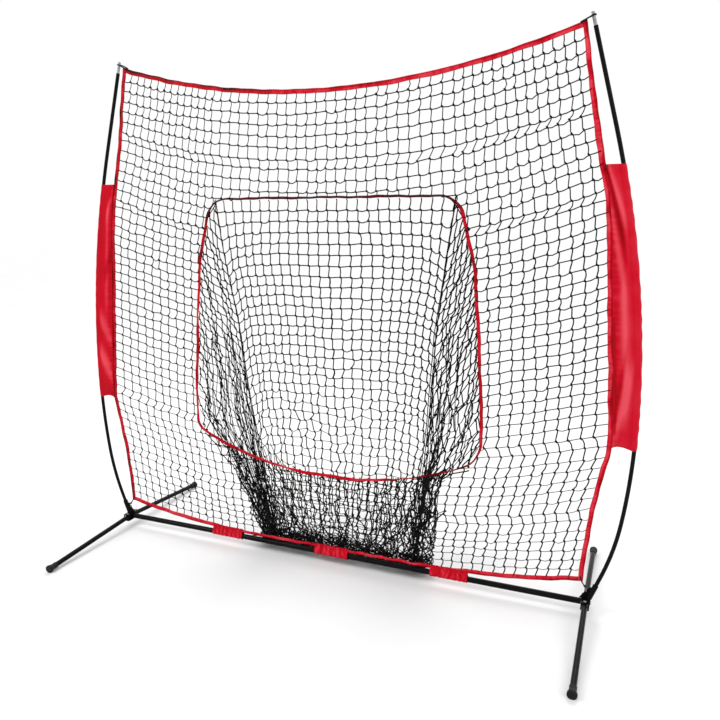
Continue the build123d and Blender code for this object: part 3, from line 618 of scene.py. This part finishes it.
def knotted(lines_across, lines_down, knots, thick=CORD_R, profile=KNOT):
    """Strands both ways and the knots where they meet."""
    across = [strand(line, np.array([0.0, 0.0, -1.0]), np.array([0.0, 0.0, -0.0007]))
              for line in lines_across]
    down = [strand(line, np.array([0.5, 0.3, 0.0]), np.array([0.0024, 0.0, 0.0])) for line in lines_down]
    diagonal = np.array([1.0, 0.0, -1.0]) + rng.normal(0, 0.22, knots.shape)
    # Towards the ground the strands across are pulled thin and those down go slack and thick.
    thin = [thick * (0.60 + 0.36 * ease((line[:, 2] - BAR_Z - 0.45) / 0.5)) for line in across]
    bold = [thick * (1.10 - 0.22 * ease((line[:, 2] - BAR_Z - 1.25) / 0.4)) for line in down]
    return joined([tubes(across, thin), tubes(down, bold),
                   lumps(knots, diagonal, KNOT_HALF, thick * KNOT_SWELL, profile)])


half_column = COLUMNS // 2
for side, name in SIDES:
    part = slice(0, half_column + 1) if side < 0 else slice(half_column, COLUMNS + 1)
    across = [line for j in range(1, ROWS) for line in runs(main_net[j, part], outside[j, part], in_opening)]
    columns = range(1, half_column + 1) if side < 0 else range(half_column + 1, COLUMNS)
    down = [line for i in columns for line in runs(main_net[:, i], outside[:, i], in_opening)]
    keep = outside[1:-1, columns.start:columns.stop]
    knots = main_net[1:-1, columns.start:columns.stop][keep]
    net_piece(f"main_net_{name}", knotted(across, down, knots), "net_panel")

# ==== pocket ====
# Lines that the pocket hangs from: height, distance from the middle, distance behind the net.
CREASE = np.array([
    (1.515, 0.521, 0.004), (1.420, 0.508, 0.014), (1.230, 0.483, 0.027), (0.990, 0.447, 0.050),
    (0.640, 0.420, 0.078), (0.490, 0.405, 0.092), (0.380, 0.392, 0.100), (0.250, 0.370, 0.110),
    (0.050, 0.345, 0.130), (-0.050, 0.330, 0.138),
])[::-1]
FRONT = {                  # the bag's front below the opening, on the left and on the right
    -1: np.array([
        (0.490, 0.640, 0.003), (0.455, 0.590, 0.003), (0.416, 0.532, 0.004), (0.327, 0.483, 0.008),
        (0.250, 0.445, 0.012), (0.150, 0.392, 0.020), (0.050, 0.345, 0.028), (-0.050, 0.320, 0.030),
    ])[::-1],
    1: np.array([
        (0.490, 0.640, 0.003), (0.455, 0.575, 0.003), (0.425, 0.522, 0.004), (0.360, 0.480, 0.008),
        (0.250, 0.470, 0.012), (0.150, 0.455, 0.020), (0.050, 0.425, 0.028), (-0.050, 0.400, 0.030),
    ])[::-1],
}
FLOOR = -BAR_Z + 0.003     # 3 mm above the ground; heights here count from the crossbar's axis
LOWEST = 0.0062            # above the ground, for a strand's middle
# The line of sight under the crossbar: height at the net, fall behind it, how far to each side it counts.
SIGHT_Z, SIGHT_FALL, SIGHT_HALF = 0.041, 0.36, 0.6


def crease_at(z):
    return np.interp(z, CREASE[:, 0], CREASE[:, 1]), np.interp(z, CREASE[:, 0], CREASE[:, 2])


# The opening's right side, between its corners, from the bottom up.
side_opening = OPENING[(OPENING[:, 0] > 0.5) & (OPENING[:, 1] > 0.46) & (OPENING[:, 1] < 1.49)]
side_opening = side_opening[np.argsort(side_opening[:, 1])]


def front_at(side, z):
    """Half width and depth of the bag's front."""
    table = FRONT[side]
    return np.interp(z, table[:, 0], table[:, 1]), np.interp(z, table[:, 0], table[:, 2])


def edge_at(side, z):
    """The edge that a side panel hangs from: the opening's side, then the front of the bag."""
    table = FRONT[side]
    x = np.interp(z, np.concatenate([table[:-1, 0], side_opening[:, 1]]),
                  np.concatenate([table[:-1, 1], side_opening[:, 0]]))
    return x, front_at(side, z)[1]


def out_of_sight(points):
    """Lifts what would show below the crossbar: the bag hangs clear of the ground near it."""
    lowest = np.where(np.abs(points[..., 0]) < SIGHT_HALF, SIGHT_Z - SIGHT_FALL * points[..., 1], 0.0)
    points[..., 2] = np.maximum(points[..., 2], np.maximum(lowest, LOWEST))
    return points


BACK_HALF, BACK_ROWS, BACK_STEP = 12, 42, 0.0425       # meshes from middle to crease, rows, row height
SIDE_COLUMNS, SIDE_STEP = 15, 0.0195                   # meshes of a side panel, drawn in by its folds
POCKET_TOP, ARCH = 1.500, 0.058


def pocket_grid():
    """Knots of the pocket's back and sides: rows from the top, columns from left to right."""
    columns = np.arange(-(BACK_HALF + SIDE_COLUMNS), BACK_HALF + SIDE_COLUMNS + 1)
    knots = np.zeros((BACK_ROWS + 1, len(columns), 3))
    kept = np.ones(knots.shape[:2], bool)
    for k in range(BACK_ROWS + 1):
        middle = POCKET_TOP - BACK_STEP * k
        arch = ARCH * ease(k / 5.0)
        for c, at in enumerate(columns):
            side = 1.0 if at >= 0 else -1.0
            f = abs(at) / BACK_HALF
            if f <= 1:
                z = middle - arch * exp(-(1 - f) * 6.5) - 0.012 * (1 - f) * ease(k / 8)
                x, y = crease_at(z)
                wide = f * (1 + 0.16 * (1 - f * f) * ease(k / 6))
                y += 0.012 * sin(pi * min(f, 1)) * ease(k / 8)
                knots[k, c] = side * x * wide, y, z
            else:
                d = (abs(at) - BACK_HALF) * SIDE_STEP
                z = middle - arch + d * (1.05 + 0.25 * ease(k / 16))
                x0, y0 = crease_at(z)
                x1, y1 = edge_at(side, z)
                share = d / max(hypot(x1 - x0, y1 - y0), 1e-4)
                if z > 1.49 or share > 1.0:
                    kept[k, c] = False
                share = min(share, 1.0)
                pleat = 0.011 * sin(at * 2.1 + k * 0.17) * sin(pi * share) * ease(k / 7)
                knots[k, c] = side * (x0 + (x1 - x0) * share), y0 + (y1 - y0) * share + pleat, z
    return columns, knots, kept


columns, pocket, kept = pocket_grid()
z = pocket[..., 2]
loose = 0.0014 + 0.0040 * ease((1.2 - z) / 1.0) + 0.010 * ease((0.30 - z) / 0.3)
in_side = abs(columns) > BACK_HALF
loose = loose * np.where(in_side, 2.0, 1.0)
loose[0] = 0
noise = rng.normal(0, 1, pocket.shape)
pocket += noise * loose[..., None] * (1.0, 0.8, 1.0)
# What reaches the floor turns forward and lies there in loose folds.
below = np.maximum(FLOOR - z, 0)
pocket[..., 1] = np.where(below > 0, 0.125 - 0.42 * below + 0.016 * np.sin(below * 60), pocket[..., 1])
pocket[..., 2] = np.where(below > 0, FLOOR + abs(noise[..., 2]) * 0.017 + 0.006, pocket[..., 2])
spread = pocket[..., 0] * (1 + 0.1 * np.sin(below * 40)) + noise[..., 0] * 0.008
pocket[..., 0] = np.where(below > 0, spread, pocket[..., 0])
pocket[..., 2] = np.maximum(pocket[..., 2], FLOOR)
pocket[..., 1] = np.maximum(pocket[..., 1], 0.004)
pocket[..., 2] += BAR_Z
pocket = out_of_sight(pocket)


def beyond_sides(points):
    """Past the edge that a side panel hangs from."""
    z = points[:, 2] - BAR_Z
    limit = np.where(points[:, 0] < 0, edge_at(-1, z)[0], edge_at(1, z)[0])
    return (np.abs(points[:, 0]) > limit) | (z > 1.492)


def bag_net(knots, keep, test):
    """Strands and knots of a grid of knots, some of them dropped."""
    across = [line for j in range(1, knots.shape[0]) for line in runs(knots[j], keep[j], test)]
    down = [line for i in range(knots.shape[1]) for line in runs(knots[:, i], keep[:, i], test)]
    return knotted(across, down, knots[1:][keep[1:]], CORD_R * 1.1, SMALL_KNOT)


for name, part in (("left", columns <= 0), ("right", columns >= 0)):
    net_piece(f"pocket_{name}", bag_net(pocket[:, part], kept[:, part], beyond_sides), "pocket_net")

# The bag's front hangs from the opening's lower edge, behind the main net.
FRONT_HALF, FRONT_ROWS, FRONT_TOP, FRONT_STEP = 14, 14, 0.470, 0.0415
front_columns = np.arange(-FRONT_HALF, FRONT_HALF + 1)
front = np.zeros((FRONT_ROWS + 1, len(front_columns), 3))
for k in range(FRONT_ROWS + 1):
    level = FRONT_TOP - FRONT_STEP * k
    f = front_columns / FRONT_HALF
    (left_x, left_y), (right_x, right_y) = front_at(-1, level), front_at(1, level)
    x, y = np.where(f < 0, left_x, right_x), np.where(f < 0, left_y, right_y)
    front[k] = np.stack([x * f, y + 0.006 + 0.006 * np.sin(f * 17 + k * 0.7), np.full_like(f, level)], axis=1)
level = front[..., 2]
side_share = ease((abs(front_columns) / FRONT_HALF - 0.35) / 0.5)
loose = 0.003 + 0.006 * side_share + 0.007 * ease((0.2 - level) / 0.2)
noise = rng.normal(0, 1, front.shape)
front += noise * loose[..., None] * (1.0, 0.7, 1.0)
below = np.maximum(FLOOR - level, 0)
front[..., 1] = np.where(below > 0, 0.032 + 0.5 * below + 0.012 * np.sin(below * 50), front[..., 1])
front[..., 2] = np.where(below > 0, FLOOR + 0.012 + abs(noise[..., 2]) * 0.016, front[..., 2])
front[..., 1] = np.maximum(front[..., 1], np.where(abs(front[..., 2]) < 0.03, 0.016, 0.003))
front[..., 2] = np.maximum(front[..., 2], FLOOR) + BAR_Z
front = out_of_sight(front)
front_kept = ~in_opening(front.reshape(-1, 3)).reshape(front.shape[:2])
net_piece("pocket_front", bag_net(front, front_kept, in_opening), "pocket_net")

# The gathered creases hang as lines of cord, and the foot of the bag is a heap behind the crossbar.
def wander(points, count, loose, seed):
    """A strand through some points, straying from them."""
    r = np.random.default_rng(seed)
    line = smooth(points, count)
    stray = np.cumsum(r.normal(0, 1, line.shape), axis=0)
    stray -= np.linspace(0, 1, count)[:, None] * stray[-1]
    return line + stray * loose / sqrt(count) * (1.0, 0.6, 1.0)


def hang(points, count, loose, seed, radius):
    """Adds a strand to the tangle, from its x, y and z values."""
    tangle.append(wander(np.stack(points, axis=1), count, loose, seed))
    tangle_radius.append(radius)


CREASE_LINES = {"left": 9, "right": 6}
PANEL_FOLDS = {"left": 30, "right": 9}
LOOSE_STRANDS = {"left": 46, "right": 34}
HEAP_STRANDS = 95
tangle, tangle_radius = [], []
for side, name in SIDES:
    for k in range(CREASE_LINES[name]):
        top = 1.505 if k < 2 else 1.25 - 0.13 * k
        drift = (k - 1.5) * 0.0085
        height = np.linspace(top, -0.030, 16)
        x, y = crease_at(height)
        spread = drift * ease((1.35 - height) / 1.3)
        hang((side * (x + spread), y - 0.002, height + BAR_Z), 70, 0.004 if k < 2 else 0.008,
             500 + 20 * k + side, 0.0021 if k < 2 else 0.0017)

# Long folds run down the side panels, between the crease and the edge they hang from.
heap = np.random.default_rng(77)
for side, name in SIDES:
    for k in range(PANEL_FOLDS[name]):
        height = np.linspace(heap.uniform(0.50, 1.0), -0.030, 13)
        share = np.clip(heap.uniform(0.10, 0.85) + np.cumsum(heap.normal(0, 0.025, 13)), 0.03, 0.93)
        (x0, y0), (x1, y1) = crease_at(height), edge_at(side, height)
        hang((side * (x0 + (x1 - x0) * share), y0 + (y1 - y0) * share, height + BAR_Z), 64, 0.005,
             2600 + 40 * k + side, 0.0017)
for k in range(HEAP_STRANDS):
    x = heap.uniform(-0.33, 0.37) + np.cumsum(heap.normal(0, 0.035, 7))
    y = np.clip(heap.uniform(0.035, 0.13) + np.cumsum(heap.normal(0, 0.014, 7)), 0.024, 0.145)
    crest = 0.085 * np.sqrt(np.clip(1 - (np.clip(x, -0.36, 0.40) - 0.02) ** 2 / 0.17, 0.02, 1))
    z = 0.004 + crest * heap.uniform(0, 1, 7) ** 0.8
    hang((np.clip(x, -0.37, 0.41), y, z), 34, 0.006, 900 + k, 0.0018)
for side, name in SIDES:
    for k in range(LOOSE_STRANDS[name]):
        start = heap.uniform(0.10, 0.47)
        height = start - np.cumsum(np.concatenate([[0], heap.uniform(0.02, 0.06, 6)]))
        height = np.maximum(height, -0.035)
        wide, near = front_at(side, height)
        share = np.clip(heap.uniform(0.45, 0.97) + np.cumsum(heap.normal(0, 0.035, 7)), 0.4, 0.99)
        depth = near + 0.006 + heap.uniform(0, 0.05) * np.linspace(0, 1, 7)
        hang((side * wide * share, np.maximum(depth, 0.018), height + BAR_Z), 36, 0.006,
             1300 + 60 * k + side, 0.0018)
BAG_BOX = (-0.60, 0.0175, 0.0025), (0.60, 0.146, 1.56)
tangle = [out_of_sight(np.clip(line, *BAG_BOX)) for line in tangle]
net_piece("pocket_gathers", tubes(tangle, tangle_radius), "pocket_net")


# ==== edge tapes ====
def edge_tape(place, edge, seed, share=1.0, tone=0.12):
    """Tape folded over the net's edge: two thin leaves that meet in a rounded fold along the edge.
    share scales its width and tone its painted light and shade, as a number or a column along the edge."""
    inward = inward_of(edge)
    run = run_along(edge)[:, None]
    q = np.linspace(-1, 1, 15)
    width = TAPE * (1 + 0.045 * ripple(run * 9, seed)) * share
    reach = np.abs(q) * width
    leaf = np.sign(q) * (1 - np.exp(-np.abs(q) * TAPE / 0.0016))
    pucker = 0.0004 * np.sin(run * 520 + 2 * np.sin(run * 31)) * np.abs(q) ** 2
    swing = 0.0011 * ripple(run * 7, seed + 1) + 0.0009 * ripple(run * 26, seed + 2) * np.abs(q)
    stray = 0.0011 * ripple(run * 13, seed + 3)

    def face(half, start):
        y = leaf * half + pucker * np.sign(q) + swing
        in_plane = edge[:, None] + inward[:, None] * (np.maximum(reach, start) + stray)[..., None]
        return np.stack([in_plane[..., 0], y, in_plane[..., 1] + BAR_Z], axis=-1)

    # Random lightness along the tape; the tape is drawn darker along its fold over the edge than on its
    # leaves; tone adds the painted light and shade.
    roll = 0.10 * ripple(run * 11, seed + 4) + 0.07 * ripple(run * 60, seed + 5)
    dark_band_reach = 0.45 + 0.15 * ripple(run * 5, seed + 6)
    lift = tone + roll - 0.30 * ease((dark_band_reach - np.abs(q)) / 0.2)
    cloth_piece(f"tape_{place}", shell(face(0.0019, 0.0), face(0.0012, 0.0007)), TAPE_CLOTH,
                cloth_rows(run[:, 0], (q + 1) * width, lift), f"edge_tape_{place}")


NET_MIDDLE = np.array([0.0, 1.0])


def inward_of(line):
    """Unit normals of a line in the net's plane, towards the middle of the net."""
    along = unit(np.gradient(line, axis=0))
    normal = np.stack([-along[:, 1], along[:, 0]], axis=1)
    flip = ((NET_MIDDLE - line) * normal).sum(axis=1) < 0
    return np.where(flip[:, None], -normal, normal)


CORNER_GAP = 0.004         # the top and bottom tapes stop this far from the corners
# Painted light and shade: the left side tape is drawn darker, the right one lighter.
SIDE_PAINTED_SHADING = {"left": -0.10, "right": 0.12}
for side, name in SIDES:
    line = side_line(side, 0.0, 260)
    height = line[:, 1:]
    share = 1 - 0.08 * ease((height - 1.85) / 0.1)
    if side > 0:
        share = share + 0.20 * ease((height - 1.45) / 0.15) * ease((1.85 - height) / 0.2)
    edge_tape(name, line, 40 + side, share, SIDE_PAINTED_SHADING[name])
x = np.linspace(-TOP_HALF + CORNER_GAP, TOP_HALF - CORNER_GAP, 240)[:, None]
# Painted light and shade: the top tape is drawn darker at the left, lightening towards the right.
edge_tape("top", np.hstack([x, top_z(x)]), 52, tone=-0.18 + 0.28 * ease((x + 0.9) / 1.3))
line = bottom_line(0.0, 270) * ((BOTTOM_EDGE[0][0] - CORNER_GAP) / BOTTOM_EDGE[0][0], 1)
# Between the outer wraps the bottom tape is pinched narrow.
x = line[:, :1]
pinch = 1 - 0.34 * ease((0.62 - np.abs(x)) / 0.1) * (0.75 + 0.25 * ripple(x * 14, 9))
edge_tape("bottom", line, 61, np.clip(pinch, 0.55, 1.0))

# ==== trim round the opening ====
TRIM_COUNT = 460
centre = opening_line(TRIM / 2, TRIM_COUNT)
ahead = np.roll(centre, -1, axis=0) - np.roll(centre, 1, axis=0)
outward = unit(np.stack([-ahead[:, 1], ahead[:, 0]], axis=1))
outward = np.where(((centre - NET_MIDDLE) * outward).sum(axis=1, keepdims=True) < 0, -outward, outward)
trim_length = float(run_along(centre)[-1])
run = np.arange(TRIM_COUNT) * trim_length / TRIM_COUNT
x, z = centre.T
# It tilts about 50 degrees along the top and at the lower right, and lies nearly flat elsewhere.
upright = 0.80 * ease((z - 1.44) / 0.04)
bottom_roll = 0.12 * ease((0.47 - z) / 0.05)
lower_right = 0.95 * ease((x - 0.20) / 0.15) * ease((0.62 - z) / 0.12)
around = run / run[-1] * 2 * pi
wobble = 0.24 * np.sin(9 * around + 1.0) + 0.16 * np.sin(23 * around) + 0.10 * np.sin(41 * around + 0.6)
twist = np.maximum(np.maximum(upright, bottom_roll), lower_right) + wobble * (1 - upright / 1.6)
twist = np.clip(twist, -1.35, 1.45)
q = np.linspace(-0.5, 0.5, 7)[None, :, None]
flat = np.stack([outward[:, 0], np.zeros(TRIM_COUNT), outward[:, 1]], axis=1)
deep = np.array([0.0, 1.0, 0.0])
width_way = flat * np.cos(twist)[:, None] + deep * np.sin(twist)[:, None]
thin_way = -flat * np.sin(twist)[:, None] + deep * np.cos(twist)[:, None]
stray = outward * (0.0011 * np.sin(17 * around) + 0.0007 * np.sin(53 * around))[:, None]
spine = np.stack([x + stray[:, 0], 0.0008 * np.sin(13 * around), z + stray[:, 1] + BAR_Z], axis=1)
ribbon = spine[:, None] + width_way[:, None] * q * TRIM
plump = 0.0014 + 0.0010 * ease((z - 1.44) / 0.04) + 0.0010 * ease((0.50 - z) / 0.05) * ease((0.30 - x) / 0.2)
half = thin_way[:, None] * (0.0003 + plump[:, None, None] * np.sqrt(1 - 4 * q ** 2))
cup = thin_way[:, None] * (0.0007 * np.cos(pi * q))
across = np.broadcast_to((q[0, :, 0] + 0.5) * TRIM, (TRIM_COUNT, q.size))
# Painted shade: the trim is drawn darker along the top, where it stands on edge, at its roll on the lower
# right and towards its two edges; painted light: its foot is drawn a little lighter, and below the top it
# lightens and darkens with its twist.
painted_shade_top = 0.62 * ease((z - 1.36 - 0.06 * (x > 0)) / 0.10)
painted_light_foot = 0.10 * ease((0.47 - z) / 0.05)
lift = -painted_shade_top - 0.22 * lower_right + painted_light_foot + 0.5 * (wobble - 0.1) * (z < 1.4)
cloth_piece("opening_binding", shell(ribbon + cup - half, ribbon + cup + half, closed=True), TRIM_CLOTH,
            cloth_rows(run, across, lift[:, None] - 0.25 * np.abs(q[..., 0])), "opening_trim")

# ==== side sleeves ====
# The poles' bend, the same as the CAD's: its radius below and above the widest place.
MIDDLE_BOW_R, UPPER_BOW_R = 2.620, 3.945
POLE_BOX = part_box("pole_lower_right")
SLEEVE_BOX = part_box("side_sleeve_right")
POLE_R = (POLE_BOX[1].y - POLE_BOX[0].y) / 2
WIDEST_X, WIDEST_Z = POLE_BOX[1].x - POLE_R, 0.6985


def pole_x(z):
    above = UPPER_BOW_R * (1 - np.sqrt(1 - (np.maximum(z - WIDEST_Z, 0) / UPPER_BOW_R) ** 2))
    below = MIDDLE_BOW_R * (1 - np.sqrt(1 - (np.maximum(WIDEST_Z - z, 0) / MIDDLE_BOW_R) ** 2))
    return WIDEST_X - above - below


SLEEVE_TOP, SLEEVE_FOOT = SLEEVE_BOX[1].z - BAR_Z, SLEEVE_BOX[0].z - BAR_Z
SLEEVE_FOLDS = {   # across and down the sleeve from its top seam corner: start, end, width, size
    "right": [
        ((0.03, 0.02), (0.62, 0.30), 0.050, -0.0042), ((0.10, 0.00), (0.75, 0.20), 0.045, 0.0036),
        ((0.00, 0.14), (0.55, 0.44), 0.060, 0.0026), ((0.06, 0.55), (0.14, 0.98), 0.055, -0.0036),
        ((0.45, 0.42), (0.55, 0.90), 0.13, 0.0036), ((0.05, 0.98), (0.80, 0.70), 0.050, 0.0034),
        ((0.02, 0.90), (0.60, 0.62), 0.040, -0.0024),
    ],
    "left": [
        ((0.05, 0.04), (0.45, 0.16), 0.040, 0.0026), ((0.02, 0.30), (0.50, 0.42), 0.040, -0.0020),
        ((0.05, 0.72), (0.80, 0.60), 0.045, 0.0036), ((0.05, 0.90), (0.85, 0.76), 0.050, 0.0038),
        ((0.30, 0.10), (0.35, 0.60), 0.12, 0.0024),
    ],
}
SHEET_T = 0.0008
SEAM_HALF = 0.0022         # half the sleeve's thickness at its seam
SLEEVE_R = POLE_R + 0.0012
# Painted shade: the left sleeve is drawn darker than the right one.
SLEEVE_PAINTED_SHADING = {"left": -0.10, "right": 0.02}
for side, name in SIDES:
    v = np.linspace(0, 1, 130)[:, None]
    edge = side_line(side, 0.0, 400)[::-1] * (side, 1)
    drop = LEFT_DROP if side < 0 else 0.0
    flat_q, turn_q = np.linspace(0, 1, 22), np.linspace(0, 1, 11)[1:-1]
    hem = 0.012 * np.sin(pi * flat_q ** 0.7)
    level = SLEEVE_TOP + (SLEEVE_FOOT - SLEEVE_TOP) * v - drop
    outer_rows, inner_rows, painted_shading_rows = [], [], []
    for face in (-1, 1):
        u = flat_q if face < 0 else flat_q[::-1]
        z = level + (hem if face < 0 else hem[::-1]) * v ** 8
        near = np.interp(z, edge[:, 1], edge[:, 0]) - 0.004
        far = pole_x(z)
        x = near + (far - near) * u
        half = SEAM_HALF + (SLEEVE_R - SEAM_HALF) * u
        relief = 0.0014 * np.sin(pi * u)
        for start, end, wide, size in SLEEVE_FOLDS[name]:
            relief = relief + fold(u, v, start, end, wide, size)
        gathers = np.exp(-u * 7) * np.minimum(u * 12, 1)
        relief = relief + 0.0017 * gathers * np.sin(level * 230 + 3 * np.sin(level * 40 + side))
        relief = relief * np.where(u > 0.86, (1 - u) / 0.14, 1)
        relief = np.maximum(relief, -0.6 * half)
        # Painted light and shade: fold ridges are drawn lighter and hollows darker, the cloth lighter where
        # it turns towards the pole and darker at the seam.
        rim_painted_shading = 0.10 * ease((u - 0.8) / 0.15) - 0.12 * ease((0.07 - u) / 0.05)
        painted_shading_rows.append(SLEEVE_PAINTED_SHADING[name] + 95.0 * (relief - 0.0010) + rim_painted_shading)
        for leaf, depth in ((outer_rows, half + relief),
                            (inner_rows, np.maximum(half + relief - SHEET_T, 0.0004))):
            leaf.append(np.stack([side * x, face * depth, z + BAR_Z], axis=-1))
    turns = []
    angle = np.broadcast_to(pi * (turn_q - 0.5), (len(v), len(turn_q)))
    z = np.broadcast_to(level + 0.004 * v ** 8, angle.shape)
    crumple = 1 + 0.10 * np.sin(level * 95 + 2 * np.sin(level * 17)) * np.cos(angle)
    for radius in (SLEEVE_R, SLEEVE_R - SHEET_T):
        x = pole_x(z) + radius * crumple * np.cos(angle)
        turns.append(np.stack([side * x, radius * np.sin(angle), z + BAR_Z], axis=-1))
    outer = np.concatenate([outer_rows[0], turns[0], outer_rows[1]], axis=1)
    inner = np.concatenate([inner_rows[0], turns[1], inner_rows[1]], axis=1)
    across = run_across(outer)
    # The turn round the pole is drawn a little lighter: painted light.
    lift = np.concatenate([painted_shading_rows[0], np.full(angle.shape, SLEEVE_PAINTED_SHADING[name] + 0.05), painted_shading_rows[1]], axis=1)
    cloth_piece(f"sleeve_{name}", shell(outer, inner), SLEEVE_CLOTH,
                cloth_rows(level[::-1, 0], across, lift), f"side_sleeve_{name}")

# ==== wraps round the crossbar ====
WRAP_ROWS, WRAP_COLUMNS = 84, 45
WRAP_R, WRAP_T = 0.0138, 0.0013
RIB_PITCH, SCALLOP_PITCH = 0.0210, 0.0195
for index, name in enumerate(("left", "middle", "right")):
    low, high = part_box(f"bar_wrap_{name}")
    along = np.linspace(low.x, high.x, WRAP_ROWS)[:, None]
    run = along - low.x
    flap_top = high.z - BAR_Z
    front = [(-0.0030, flap_top), (-0.0032, flap_top - 0.006), (-0.0042, flap_top - 0.012),
             (-0.0085, 0.0135)]
    round_bar = [(WRAP_R * cos(a), WRAP_R * sin(a)) for a in np.radians(np.linspace(150, 390, 17))]
    back = [(-y, z) for y, z in front[::-1]]
    profile = even(smooth(front + round_bar + back, 160), WRAP_COLUMNS)
    normal = unit(np.stack([np.gradient(profile[:, 1]), -np.gradient(profile[:, 0])], axis=1))
    if (normal * (profile - (0.0, 0.004))).sum() < 0:
        normal = -normal
    around = np.linspace(0, 1, WRAP_COLUMNS)
    rib = np.sin(run * 2 * pi / RIB_PITCH + 1.6 * np.sin(around * 13 + index))
    cell = 0.35 + 0.65 * np.sin(around * 21 + 2.2 * np.sin(run * 75 + index))
    puff = (0.0010 + 0.0010 * rib * cell) * (0.45 + 0.55 * np.sin(pi * around))
    puff = puff + 0.0005 * ripple(run * 60, 70 + index)
    puff = puff * (1 - 0.25 * (np.abs(run / run[-1] - 0.5) * 2) ** 6)
    notch = 0.0022 * (1 - np.abs(np.sin(run * pi / SCALLOP_PITCH)))
    near_top = np.maximum(profile[:, 1] - flap_top + 0.012, 0) / 0.012
    surface = profile + normal * puff[..., None]
    surface[..., 1] -= notch * near_top
    lengthwise = np.broadcast_to(along, puff.shape)
    outer, inner = (np.stack([lengthwise, grid[..., 0], grid[..., 1] + BAR_Z], axis=-1)
                    for grid in (surface, surface - normal * WRAP_T))
    across = run_across(outer)
    # Painted light and shade: the puffs are drawn lighter and the dips between them darker.
    cloth_piece(f"wrap_{name}", shell(outer, inner), WRAP_CLOTH,
                cloth_rows(run[:, 0], across, 0.10 + 190.0 * (puff - 0.0012)), f"bar_wrap_{name}")


# ==== corner cords ====
def elastic_cord(name, points, diameter, node):
    """A taut cord whose line is steered by a few points."""
    data = bpy.data.curves.new(name, "CURVE")
    data.dimensions = "3D"
    data.bevel_depth = diameter / 2
    data.bevel_resolution = 4
    data.resolution_u = 16
    data.use_fill_caps = True
    spline = data.splines.new("NURBS")
    spline.points.add(len(points) - 1)
    for point, at in zip(spline.points, points):
        point.co = (*at, 1.0)
    spline.order_u = 3
    spline.use_endpoint_u = True
    data.materials.append(MATERIALS["elastic_cord"])
    piece = bpy.data.objects.new(name, data)
    bpy.context.scene.collection.objects.link(piece)
    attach(piece, "frame")
    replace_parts(piece, node)


LOOP_LENGTH, LOOP_D = 0.1136, 0.005
CORNER_LENGTH, CORNER_D = 0.0382, 0.0045
GROOVE_DROP, LOOP_R = 0.012, 0.0073        # the groove's distance below the tip's top, the loop round it
LEAN = radians(15.0)                  # of the pole's top, inwards
for side, name in SIDES:
    low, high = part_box(f"pole_tip_{name}")
    up = np.array([-side * sin(LEAN), 0.0, cos(LEAN)])
    out = np.array([side * cos(LEAN), 0.0, sin(LEAN)])
    tip_r = (high.y - low.y) / 2
    inner_x = low.x if side > 0 else high.x
    tip_top = np.array([inner_x + side * tip_r * cos(LEAN), 0.0, high.z - tip_r * sin(LEAN)])
    groove = tip_top - up * GROOVE_DROP
    back = np.array([0.0, 1.0, 0.0])
    route = [(-0.044, -0.0105, -0.0043), (-0.014, -0.0020, -0.0074), (LOOP_R, 0.0, -LOOP_R),
             (LOOP_R, 0.0, LOOP_R), (-0.014, 0.0020, 0.0074), (-0.044, -0.0055, 0.0043)]
    points = [groove + out * o + up * u + back * b for o, u, b in route]
    elastic_cord(f"loop_cord_{name}", points, LOOP_D, f"top_loop_cord_{name}")

    ball_low, ball_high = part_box(f"cord_ball_{name}")
    ball = np.array((ball_low + ball_high) / 2)
    lead = unit(np.array([side * 0.66, 0.0, -0.75]))
    route = [(1.041, 0.149), (1.0435, 0.136), (1.050, 0.124)]
    points = [np.array([side * x, -0.0042, z]) for x, z in route] + [ball - lead * 0.0042]
    elastic_cord(f"corner_cord_{name}", points, CORNER_D, f"bottom_cord_{name}")

# ==== floor, lights ====
floor_mesh = bpy.data.meshes.new("floor")
floor_mesh.from_pydata([(-30, -30, 0), (30, -30, 0), (30, 30, 0), (-30, 30, 0)], [], [(0, 1, 2, 3)])
floor = bpy.data.objects.new("floor", floor_mesh)
bpy.context.scene.collection.objects.link(floor)
pale = Nodes("floor", Roughness=0.9)
pale.colour(pale.ramp(pale.noise(pale.place(), 0.8), (0.3, (0.75, 0.75, 0.75)), (0.8, (0.77, 0.77, 0.77))))
floor_mesh.materials.append(pale.material)

world = bpy.data.worlds.new("studio")
bpy.context.scene.world = world
world.use_nodes = True
backdrop = world.node_tree.nodes["Background"].inputs
backdrop["Color"].default_value = (1.0, 1.0, 1.0, 1.0)
backdrop["Strength"].default_value = 1.0
bpy.context.scene.view_settings.view_transform = "Standard"


def area_light(name, at, size, power):
    """A tall narrow soft light, aimed at the net, which leaves a thin streak on the tubes."""
    data = bpy.data.lights.new(name, "AREA")
    data.shape = "RECTANGLE"
    data.size, data.size_y = size
    data.energy = power
    light = bpy.data.objects.new(name, data)
    light.location = at
    toward = np.array([0.0, 0.0, 1.0]) - np.array(at)
    flat = hypot(toward[0], toward[1])
    light.rotation_euler = (atan2(flat, -toward[2]), 0.0, atan2(toward[1], toward[0]) - pi / 2)
    bpy.context.scene.collection.objects.link(light)


area_light("key", (-3.5, -3.0, 4.5), (0.30, 2.6), 120.0)
area_light("fill", (4.5, -2.0, 3.0), (0.25, 2.2), 45.0)
# A broad light from above and behind lays the soft shadow in front of the crossbar.
sky = bpy.data.lights.new("sky", "SUN")
sky.energy = 1.2
sky.angle = radians(40)
sky_light = bpy.data.objects.new("sky", sky)
sky_light.rotation_euler = (radians(-42), 0.0, radians(8))
bpy.context.scene.collection.objects.link(sky_light)
